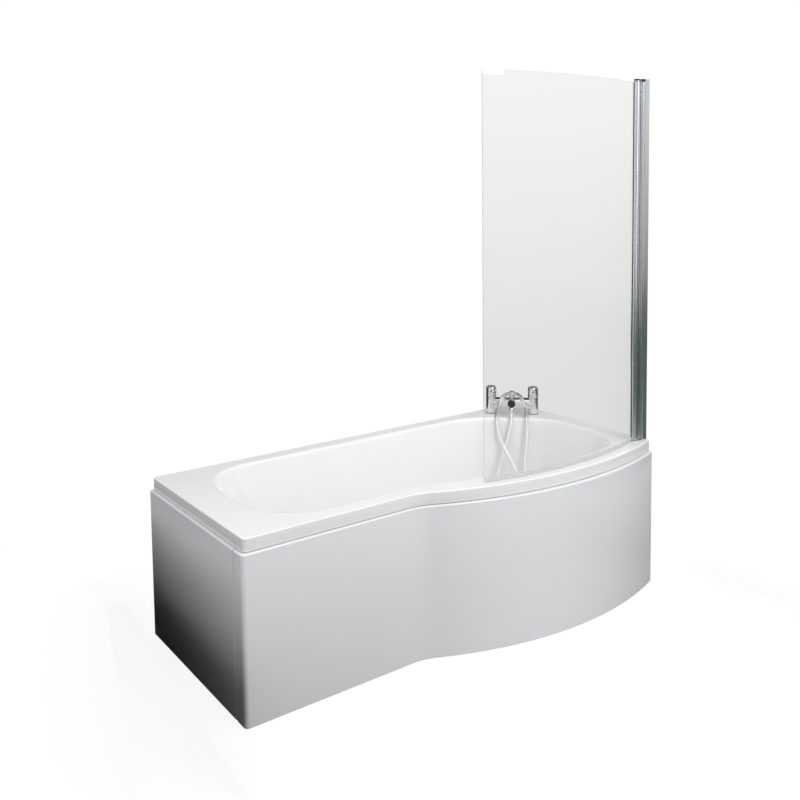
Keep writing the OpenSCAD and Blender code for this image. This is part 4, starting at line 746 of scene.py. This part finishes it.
pillar_profile = eased([(0, washer_t), (pillar_r, washer_t), (pillar_r, handle_z - handle_gap),
                        (0, handle_z - handle_gap)], 0.7)
bar_section = arc(0, bar_top_z, bar_r, 0, 180, 32) + arc(0, bar_low_z, bar_r, 180, 360, 32)
bar_form = skin([[(x, y, z) for y, z in bar_section] for x in (-tap_half, tap_half)])
spout_len = spout_reach - aerator_t - spout_back
spout_profile = eased([(0, 0), (spout_r, 0), (spout_r, spout_len), (0, spout_len)], 0.7)
boss_profile = eased([(0, 50), (boss_r, 50), (boss_r, boss_z), (0, boss_z)], 0.8)
outlet_profile = [(0, -outlet_drop), (outlet_r, -outlet_drop), (outlet_r, 0), (0, 0)]
tap_forms = [(bar_form, Matrix())]
tap_forms += [(turned(pillar_profile), aside(side * tap_half)) for side in (-1, 1)]
tap_forms += [(turned(spout_profile), lying(spout_z, -spout_back)), (turned(boss_profile), Matrix()),
              (turned(outlet_profile, 48), outlet_place)]
cast_together("tap_casting", tap_forms, tap_frame, ["tap_body"])
tail_forms = []
groove_z = tail_free - tail_l
for side in (-1, 1):
    for form in (threaded(tail_r, 1.0, 1.81, -tail_l, groove_z, 32),
                 threaded(tail_r, 1.0, 1.81, groove_z + groove_w, washer_t, 32),
                 rod(tail_r - 1, groove_z - 1, groove_z + groove_w + 1, 32)):
        tail_forms.append((form, aside(side * tap_half)))
make_piece("threaded_tails", joined(tail_forms), brass, place=tap_frame)
aerator_r = spout_r - 0.3
aerator_profile = [(0, 0), (aerator_r, 0), (aerator_r, aerator_t - 0.8), (aerator_r - 0.8, aerator_t),
                   (13.4, aerator_t), (12.6, aerator_t - 1.6)]
for k in range(4):
    aerator_profile += [(11.6 - 2.8 * k, aerator_t - 1.6), (11.0 - 2.8 * k, aerator_t - 0.7),
                        (10.2 - 2.8 * k, aerator_t - 0.7), (9.6 - 2.8 * k, aerator_t - 1.6)]
aerator_profile.append((0, aerator_t - 1.6))
matt_black = mottled("matt_black", (0.006, 0.006, 0.006), (0.009, 0.009, 0.009), 0.004, (0.55, 0.7))
feed(matt_black.node_tree, matt_black.node_tree.nodes["Principled BSDF"], {"Specular IOR Level": 0.15})
make_piece("aerator_insert", turned(aerator_profile, 64), matt_black,
           instead_of=["aerator"], place=tap_frame @ lying(spout_z, aerator_t - spout_reach))

# Tap's controls: each handle is a turned and plated cap on its valve's spindle, with a black index dot
# let into its front. The diverter's knob stands on the boss between them and lifts.
dot_z, dot_r, crown_r, crown_rise = 98, 3.6, 7, 1.2
crown_z = handle_z + handle_h - crown_rise - crown_r
handle_profile = eased([(0, handle_z), (pillar_r, handle_z), (pillar_r, crown_z)], 1.0, steps=3)
handle_profile += arc(pillar_r - crown_r, crown_z, crown_r, 0, 90, 9, 1)
handle_profile += [((pillar_r - crown_r) * k, handle_z + handle_h - crown_rise * k ** 2)
                   for k in (0.7, 0.4, 0.2, 0)]
for side, body, node in ((-1, "hot_control", "hot_handle"), (1, "cold_control", "cold_handle")):
    handle = make_piece(f"turned_{node}", turned(handle_profile), chrome, body=body,
                        instead_of=[node], place=tap_frame @ aside(side * tap_half))
    dot_place = tap_frame @ aside(side * tap_half) @ lying(dot_z)
    machined(handle, [(rod(dot_r, pillar_r - 2, pillar_r + 5), dot_place)], "DIFFERENCE")
dress(matt_black, "hot_dot", "cold_dot")
knob_z = boss_z + 0.3
knob_profile = [(0, 0), (8.5, 0), (8.5, 13), (10, 15.5), (10, 20.8), (8.6, 22), (0, 22)]
knob_profile = eased([(r, knob_z + z) for r, z in knob_profile], 0.7)
make_piece("lift_knob", turned(knob_profile, 120, 24, 0.35, (knob_z + 15.4, knob_z + 20.4)), chrome,
           body="diverter", instead_of=["diverter_knob"], place=tap_frame)

# Handset: a plated plastic handle and head in one moulding, with a grey spray plate whose rubber nozzles
# stand in rings. It lies face up on the floor of the well at the hose's end.
handle_l, head_r, head_low, head_top = 126, 42, -13.7, 6.3
head_at = handset_nut_l + handle_l + head_r - 0.5
neck_z = (head_low + head_top) / 2
grip_profile = [(0, 0), (11, 0), (11, 1.5), (10.6, 2.5), (11.2, 8), (11.9, 70), (12.5, handle_l - 1),
                (11.6, handle_l), (0, handle_l)]
grip_profile = eased([(r, handset_nut_l + z) for r, z in grip_profile], 1.0)
neck_profile = [(0, 0), (9, 0), (9, 14), (0, 14)]
head_profile = eased([(0, head_low), (head_r - 5, head_low), (head_r, head_low + 6), (head_r, head_top - 1),
                      (head_r - 1, head_top), (0, head_top)], 2.5)
cast_together("handset_moulding", [
    (turned(grip_profile), Matrix.Rotation(radians(90), 4, "X")),
    (turned(neck_profile, 48), lying(neck_z, -handset_nut_l - handle_l + 9)),
    (turned(head_profile), Matrix.Translation((0, -head_at, 0))),
], handset_place, ["handset_body"])
plate_z = head_top + 3
plate_profile = eased([(0, head_top), (head_r - 0.5, head_top), (head_r - 0.5, plate_z - 1.2),
                       (head_r - 2, plate_z - 0.6), (0, plate_z - 0.6)], 0.4)
nozzle_profile = [(0, -0.8), (1.7, -0.8), (1.1, 0), (0.5, 0), (0.4, -0.3), (0, -0.3)]
nozzle_form = turned([(r, plate_z + z) for r, z in nozzle_profile], 12)
plate_forms = [(turned(plate_profile), Matrix())]
for ring_r in (0, 9, 18, 27, 35):
    count = max(ring_r * 2 // 3, 1)
    plate_forms += [(nozzle_form, Matrix.Rotation(2 * pi * k / count, 4, "Z") @ aside(ring_r))
                    for k in range(count)]
make_piece("spray_plate", joined(plate_forms), grey_plastic, instead_of=["handset_plate"],
           place=handset_place @ Matrix.Translation((0, -head_at, 0)))

# Screen's profiles: an open aluminium channel is screwed to the wall, and a box section slides in it to
# take up a wall that is out of plumb. Both are extruded and polished. Steel brackets at the box
# section's ends hold the pins that the screen turns on, and black caps close the ends.
pivot_x, pivot_front = 802, 52
pivot_y = bulge_centre(rim_line) - sqrt(rim_line[6] ** 2 - (pivot_x - rim_line[5]) ** 2) + pivot_front
profile_top = rim_z + 1375


def extruded(section, z0, z1):
    """A bar of one section with its ends eased a little."""
    mid = Vector((sum(x for x, y in section), sum(y for x, y in section))) / len(section)
    near = [Vector(p) + (mid - Vector(p)).normalized() * 0.3 for p in section]
    return skin([at_height(near, z0), at_height(section, z0 + 0.3), at_height(section, (z0 + z1) / 2),
                 at_height(section, z1 - 0.3), at_height(near, z1)])


polished = mottled("polished_aluminium", (0.80, 0.81, 0.82), (0.72, 0.735, 0.75), 0.004, (0.10, 0.2),
                   metal=1.0, stretch=(1, 1, 0.01))
wall_x, wall_w, wall_half, wall_t = 850, 24, 20, 2
wall_face = wall_x - wall_w
wall_section = [(wall_x, -wall_half), (wall_x, wall_half), (wall_face, wall_half),
                (wall_face, wall_half - wall_t), (wall_x - wall_t, wall_half - wall_t),
                (wall_x - wall_t, wall_t - wall_half), (wall_face, wall_t - wall_half),
                (wall_face, -wall_half)]
wall_section = [(x, y + pivot_y) for x, y in eased(wall_section, 0.8, closed=True)]
make_piece("wall_channel", extruded(wall_section, rim_z, profile_top), polished,
           instead_of=["wall_profile"])
slide_x0, slide_x1, slide_half, slide_t = 817, 846, 17.5, 1.6
slide_low, slide_top = 561, 1920
groove = 0.8
slide_outer = [(slide_x1, -slide_half), (slide_x1, slide_half), (slide_x0, slide_half)]
for y in (9, 0, -9):
    slide_outer += [(slide_x0, y + 1.5), (slide_x0 + groove, y + 1.0), (slide_x0 + groove, y - 1.0),
                    (slide_x0, y - 1.5)]
slide_outer.append((slide_x0, -slide_half))
slide_outer = eased(slide_outer, 1.0, closed=True)
slide_inner = [(min(max(x, slide_x0 + slide_t), slide_x1 - slide_t),
                min(max(y, slide_t - slide_half), slide_half - slide_t)) for x, y in slide_outer]
tube_levels = [(slide_outer, z) for z in (slide_low, (slide_low + slide_top) / 2, slide_top)]
tube_levels += [(slide_inner, z) for z in (slide_top, (slide_low + slide_top) / 2, slide_low)]
slide_rings = [[(x, y + pivot_y, z) for x, y in line] for line, z in tube_levels]
make_piece("sliding_section", skin(slide_rings, looped=True), polished,
           instead_of=["slide_profile"])
nylon = mottled("white_nylon", (0.80, 0.79, 0.74), (0.76, 0.75, 0.70), 0.01, (0.4, 0.5))
dress(zinc, "pivot_brackets")
dress(black_plastic, "profile_caps")
dress(nylon, "pivot_bushes")
dress(polished, "glass_channel")

# Glass: one pane of six millimetre toughened glass, bent to the bath's curve and ground round its edges.
# It is held in the pivot channel by a clear gasket, and a clear wiper along its foot seals to the rim.
glass_r, glass_lead = 1377, 30
glass_a = asin((pivot_x - rim_line[5] + glass_lead) / glass_r)
glass_from, glass_to, glass_half = 14, 800, 3
glass_low, glass_top, glass_corner = 567, 1916, 6


def on_glass(s, off, z):
    """The place at a distance s along the pane from its pivot and off towards its hollow side."""
    r = glass_r - off
    x, y = -r * sin(s / glass_r), glass_r - r * cos(s / glass_r)
    return (pivot_x + x * cos(glass_a) - y * sin(glass_a), pivot_y + x * sin(glass_a) + y * cos(glass_a), z)


def clear_finish(name, pale, deep, rough, ior, clear=1.0, alpha=1.0):
    """A clear finish with a faint cast, painted shade that makes it a little darker towards its foot, and a
    film of marks.
    """
    finish, tree, shader = new_finish(name)
    place = add(tree, "TexCoord").outputs["Object"]
    height = add(tree, "SeparateXYZ", {"Vector": place}).outputs["Z"]
    # Painted shade: the tone is darker towards the foot and paler towards the top.
    share = ramp(tree, height, (glass_low * MM, glass_top * MM), (0, 1))
    film = add(tree, "TexNoise", {"Vector": place, "Scale": 6})
    feed(tree, shader, {"Base Color": blended(tree, share, (*deep, 1), (*pale, 1)),
                        "Roughness": ramp(tree, film.outputs["Fac"], (0, 1), rough),
                        "IOR": ior, "Transmission Weight": clear, "Alpha": alpha})
    return finish


glass_clear = clear_finish("bath_glass", (0.995, 0.995, 0.993), (0.99, 0.99, 0.988), (0.0, 0.012), 1.45)
glass_ground = clear_finish("ground_edge", (0.93, 0.94, 0.935), (0.90, 0.91, 0.905), (0.5, 0.6), 1.3,
                            clear=0.3)
arris = 0.7
flat_half = glass_half - arris
pane_section = [(-glass_half, arris), (-flat_half, 0), (flat_half, 0), (glass_half, arris),
                (glass_half, -arris), (flat_half, 0), (-flat_half, 0), (-glass_half, -arris)]
steps = 150
spans = [glass_from, glass_from + arris]
spans += [glass_from + (glass_to - glass_from) * k / steps for k in range(1, steps)]
spans += [glass_to - glass_corner * (1 - sin(radians(a))) for a in (0, 22.5, 45, 67.5, 85)] + [glass_to]
pane_rings = []
for i, s in enumerate(spans):
    past = max(0.0, s - (glass_to - glass_corner))
    nip = glass_corner - sqrt(max(glass_corner ** 2 - past ** 2, 0.0))
    slim = arris if i in (0, len(spans) - 1) else 0.0
    low, high = glass_low, glass_top - min(nip, glass_corner - 0.5)
    ring = []
    for k, (off, rise) in enumerate(pane_section):
        off = max(min(off, glass_half - slim), slim - glass_half)
        ring.append(on_glass(s, off, (low if k < 4 else high) + rise))
    pane_rings.append(ring)
pane_form = skin(pane_rings)
pane_sides = len(pane_section)
pane_last = (len(pane_rings) - 2) * pane_sides
pane_finish = [0 if i % pane_sides in (3, 7) and pane_sides <= i < pane_last else 1
               for i in range(len(pane_form[1]))]
pane = make_piece("bent_glass_pane", (*pane_form, pane_finish), [glass_clear, glass_ground],
                  body="screen", instead_of=["screen_glass"])
pane.visible_shadow = False
# The foot seal is clear; its grey tone is painted shade, the dark band along the pane's foot.
dress(clear_finish("clear_seal", (0.64, 0.65, 0.65), (0.60, 0.61, 0.61), (0.3, 0.4), 1.35, clear=0.0,
                   alpha=0.3), "foot_seal")
dress(clear_finish("clear_gasket", (0.80, 0.81, 0.80), (0.78, 0.79, 0.78), (0.25, 0.35), 1.4), "glass_gasket")

# Studio: a pale floor that keeps the bath's shadow, under an even sky with two soft boxes. Cards stand
# behind, beside, above and before the bath where only its gloss sees them, and black flags at both ends
# hold light off the end panel and off the tap's end. Through the glass the ground is a pale grey.


def stage_plane(name, size, at, facing, finish):
    """A card or floor of the studio, set square to a direction."""
    w, h = size[0] / 2, size[1] / 2
    mesh = bpy.data.meshes.new(name)
    mesh.from_pydata([(-w, -h, 0), (w, -h, 0), (w, h, 0), (-w, h, 0)], [], [(0, 1, 2, 3)])
    mesh.materials.append(finish)
    card = bpy.data.objects.new(name, mesh)
    card.matrix_world = Matrix.Translation(at) @ Vector(facing).to_track_quat("Z", "Y").to_matrix().to_4x4()
    bpy.context.scene.collection.objects.link(card)
    return card


def mixed(tree, share, first, second):
    """A shader between two others, which is all of the second where share is 1."""
    return add(tree, "MixShader", {"Fac": share, 1: first.outputs[0], 2: second.outputs[0]})


def seen_white(tree, rays):
    """1 for the rays that should see a white background, and 0 for the rest."""
    return add(tree, "Math", {0: rays["Is Camera Ray"], 1: rays["Is Transmission Ray"]},
               operation="MAXIMUM").outputs[0]


def bare_finish(name):
    """A finish of the studio, with no shader yet."""
    finish, tree, shader = new_finish(name)
    tree.nodes.clear()
    return finish, tree


def floor_finish():
    """The floor: to the eye white with the bath's shadow in it, and dull at the narrow end to other light."""
    finish, tree = bare_finish("pale_floor")
    rays = add(tree, "LightPath").outputs
    reach = add(tree, "VectorMath", {0: add(tree, "TexCoord").outputs["Object"]}, operation="LENGTH")
    reach = reach.outputs["Value"]
    glow = add(tree, "Emission", {"Strength": floor_glow})
    matt = add(tree, "BsdfDiffuse", {"Color": (floor_tone, floor_tone, floor_tone, 1)})
    near = add(tree, "AddShader", {0: glow.outputs[0], 1: matt.outputs[0]})
    far = ramp(tree, reach, shadow_reach, (0, 1), interpolation_type="SMOOTHSTEP")
    through = add(tree, "Emission", {"Strength": ramp(tree, reach, grey_reach, grey_floor)})
    seen = mixed(tree, rays["Is Transmission Ray"], mixed(tree, far, near, add(tree, "Emission")), through)
    along = add(tree, "SeparateXYZ", {"Vector": add(tree, "NewGeometry").outputs["Position"]})
    dull = add(tree, "BsdfDiffuse", {"Color": ramp(tree, along.outputs["X"], bounce_span, bounces)})
    whole = mixed(tree, seen_white(tree, rays), dull, seen)
    add(tree, "OutputMaterial", {"Surface": whole.outputs[0]})
    return finish


def card_finish(name, tone, low, high):
    """A card of one tone at its foot that fades to nothing between two heights."""
    finish, tree = bare_finish(name)
    split = add(tree, "SeparateXYZ", {"Vector": add(tree, "NewGeometry").outputs["Position"]})
    fade = ramp(tree, split.outputs["Z"], (low, high), (0, 1))
    whole = mixed(tree, fade, add(tree, "Emission", {"Color": (*tone, 1)}), add(tree, "BsdfTransparent"))
    add(tree, "OutputMaterial", {"Surface": whole.outputs[0]})
    return finish


floor_tone, floor_glow, shadow_reach = 0.12, 0.90, (1.0, 1.9)
grey_reach, grey_floor, bounce_span, bounces = (3, 12), (0.775, 0.825), (-0.5, 0.3), (0.11, 0.42)
stage_plane("floor", (16, 16), (0, 0, -0.0005), (0, 0, 1), floor_finish())
dark_card = card_finish("dark_card", (0.03, 0.038, 0.04), 0.8, 1.4)
hood_card = card_finish("hood_card", (0.012, 0.018, 0.02), 5.0, 6.0)
slate_card = card_finish("slate_card", (0.11, 0.13, 0.135), 0.7, 2.3)
pale_card = card_finish("pale_card", (0.95, 0.96, 0.97), 3.0, 4.0)
for name, size, at, facing, finish in (
    ("card_behind", (6.0, 3.0), (1.0, 1.3, 1.5), (0, -1, 0), dark_card),
    ("card_right", (4.6, 3.0), (1.35, -1.85, 1.5), (-0.77, 0.64, 0), slate_card),
    ("card_hood", (3.4, 2.4), (1.1, 1.1, 2.3), (0, 0, -1), hood_card),
    ("card_camera", (3.2, 3.0), (-2.6, -3.6, 1.8), (0.6, 0.8, 0), pale_card),
):
    card = stage_plane(name, size, at, facing, finish)
    card.visible_camera = card.visible_diffuse = card.visible_shadow = card.visible_transmission = False
flag_cloth = mottled("flag_cloth", (0.004, 0.004, 0.004), (0.006, 0.006, 0.006), 0.1, (0.9, 1.0))
for name, size, at, facing in (
    ("flag_left", (1.5, 0.43), (-1.039, 0.275, 0.215), (1, -0.257, 0)),
    ("flag_low", (1.3, 0.25), (-0.912, 0.1, 0.125), (1, -0.1, 0)),
    ("flag_right", (1.6, 0.62), (1.08, -1.15, 0.31), (-1, 0, 0)),
):
    flag = stage_plane(name, size, at, facing, flag_cloth)
    flag.visible_camera = flag.visible_transmission = flag.visible_glossy = False

world = bpy.data.worlds.new("studio")
bpy.context.scene.world = world
world.use_nodes = True
sky = world.node_tree
sky.nodes.clear()
rays = add(sky, "LightPath").outputs
rise = add(sky, "SeparateXYZ", {"Vector": add(sky, "TexCoord").outputs["Generated"]}).outputs["Z"]
room_tone, grey_rise, grey_sky = (0.97, 0.985, 1, 1), (-0.107, 0.11), (0.825, 0.91)
dim_rise, dim_sky = (0.05, 0.3), (1.0, 0.5)
backdrop = add(sky, "Background", {"Color": (1, 1, 1, 1)})
behind_glass = add(sky, "Background", {"Color": (1, 0.995, 0.99, 1),
                                       "Strength": ramp(sky, rise, grey_rise, grey_sky)})
room_light = add(sky, "Background", {"Color": room_tone, "Strength": 1.0})
in_gloss = add(sky, "Background", {"Color": room_tone, "Strength": ramp(sky, rise, dim_rise, dim_sky)})
seen = mixed(sky, rays["Is Transmission Ray"], backdrop, behind_glass)
lit = mixed(sky, rays["Is Glossy Ray"], room_light, in_gloss)
whole = mixed(sky, seen_white(sky, rays), lit, seen)
add(sky, "OutputWorld", {"Surface": whole.outputs[0]})


def soft_lamp(name, at, look, size, watts):
    """A square soft box that looks at a point."""
    lamp = bpy.data.lights.new(name, "AREA")
    lamp.shape, lamp.size, lamp.energy = "SQUARE", size, watts
    holder = bpy.data.objects.new(name, lamp)
    holder.location = at
    holder.rotation_mode = "QUATERNION"
    holder.rotation_quaternion = (Vector(look) - Vector(at)).to_track_quat("-Z", "Y")
    bpy.context.scene.collection.objects.link(holder)


soft_lamp("top_box", (0.2, -0.9, 3.3), (0.1, 0.0, 0.4), 2.0, 11)
soft_lamp("front_box", (0.3, -3.2, 3.0), (0.0, -0.3, 0.5), 1.8, 42)

bpy.context.scene.view_settings.view_transform = "Standard"
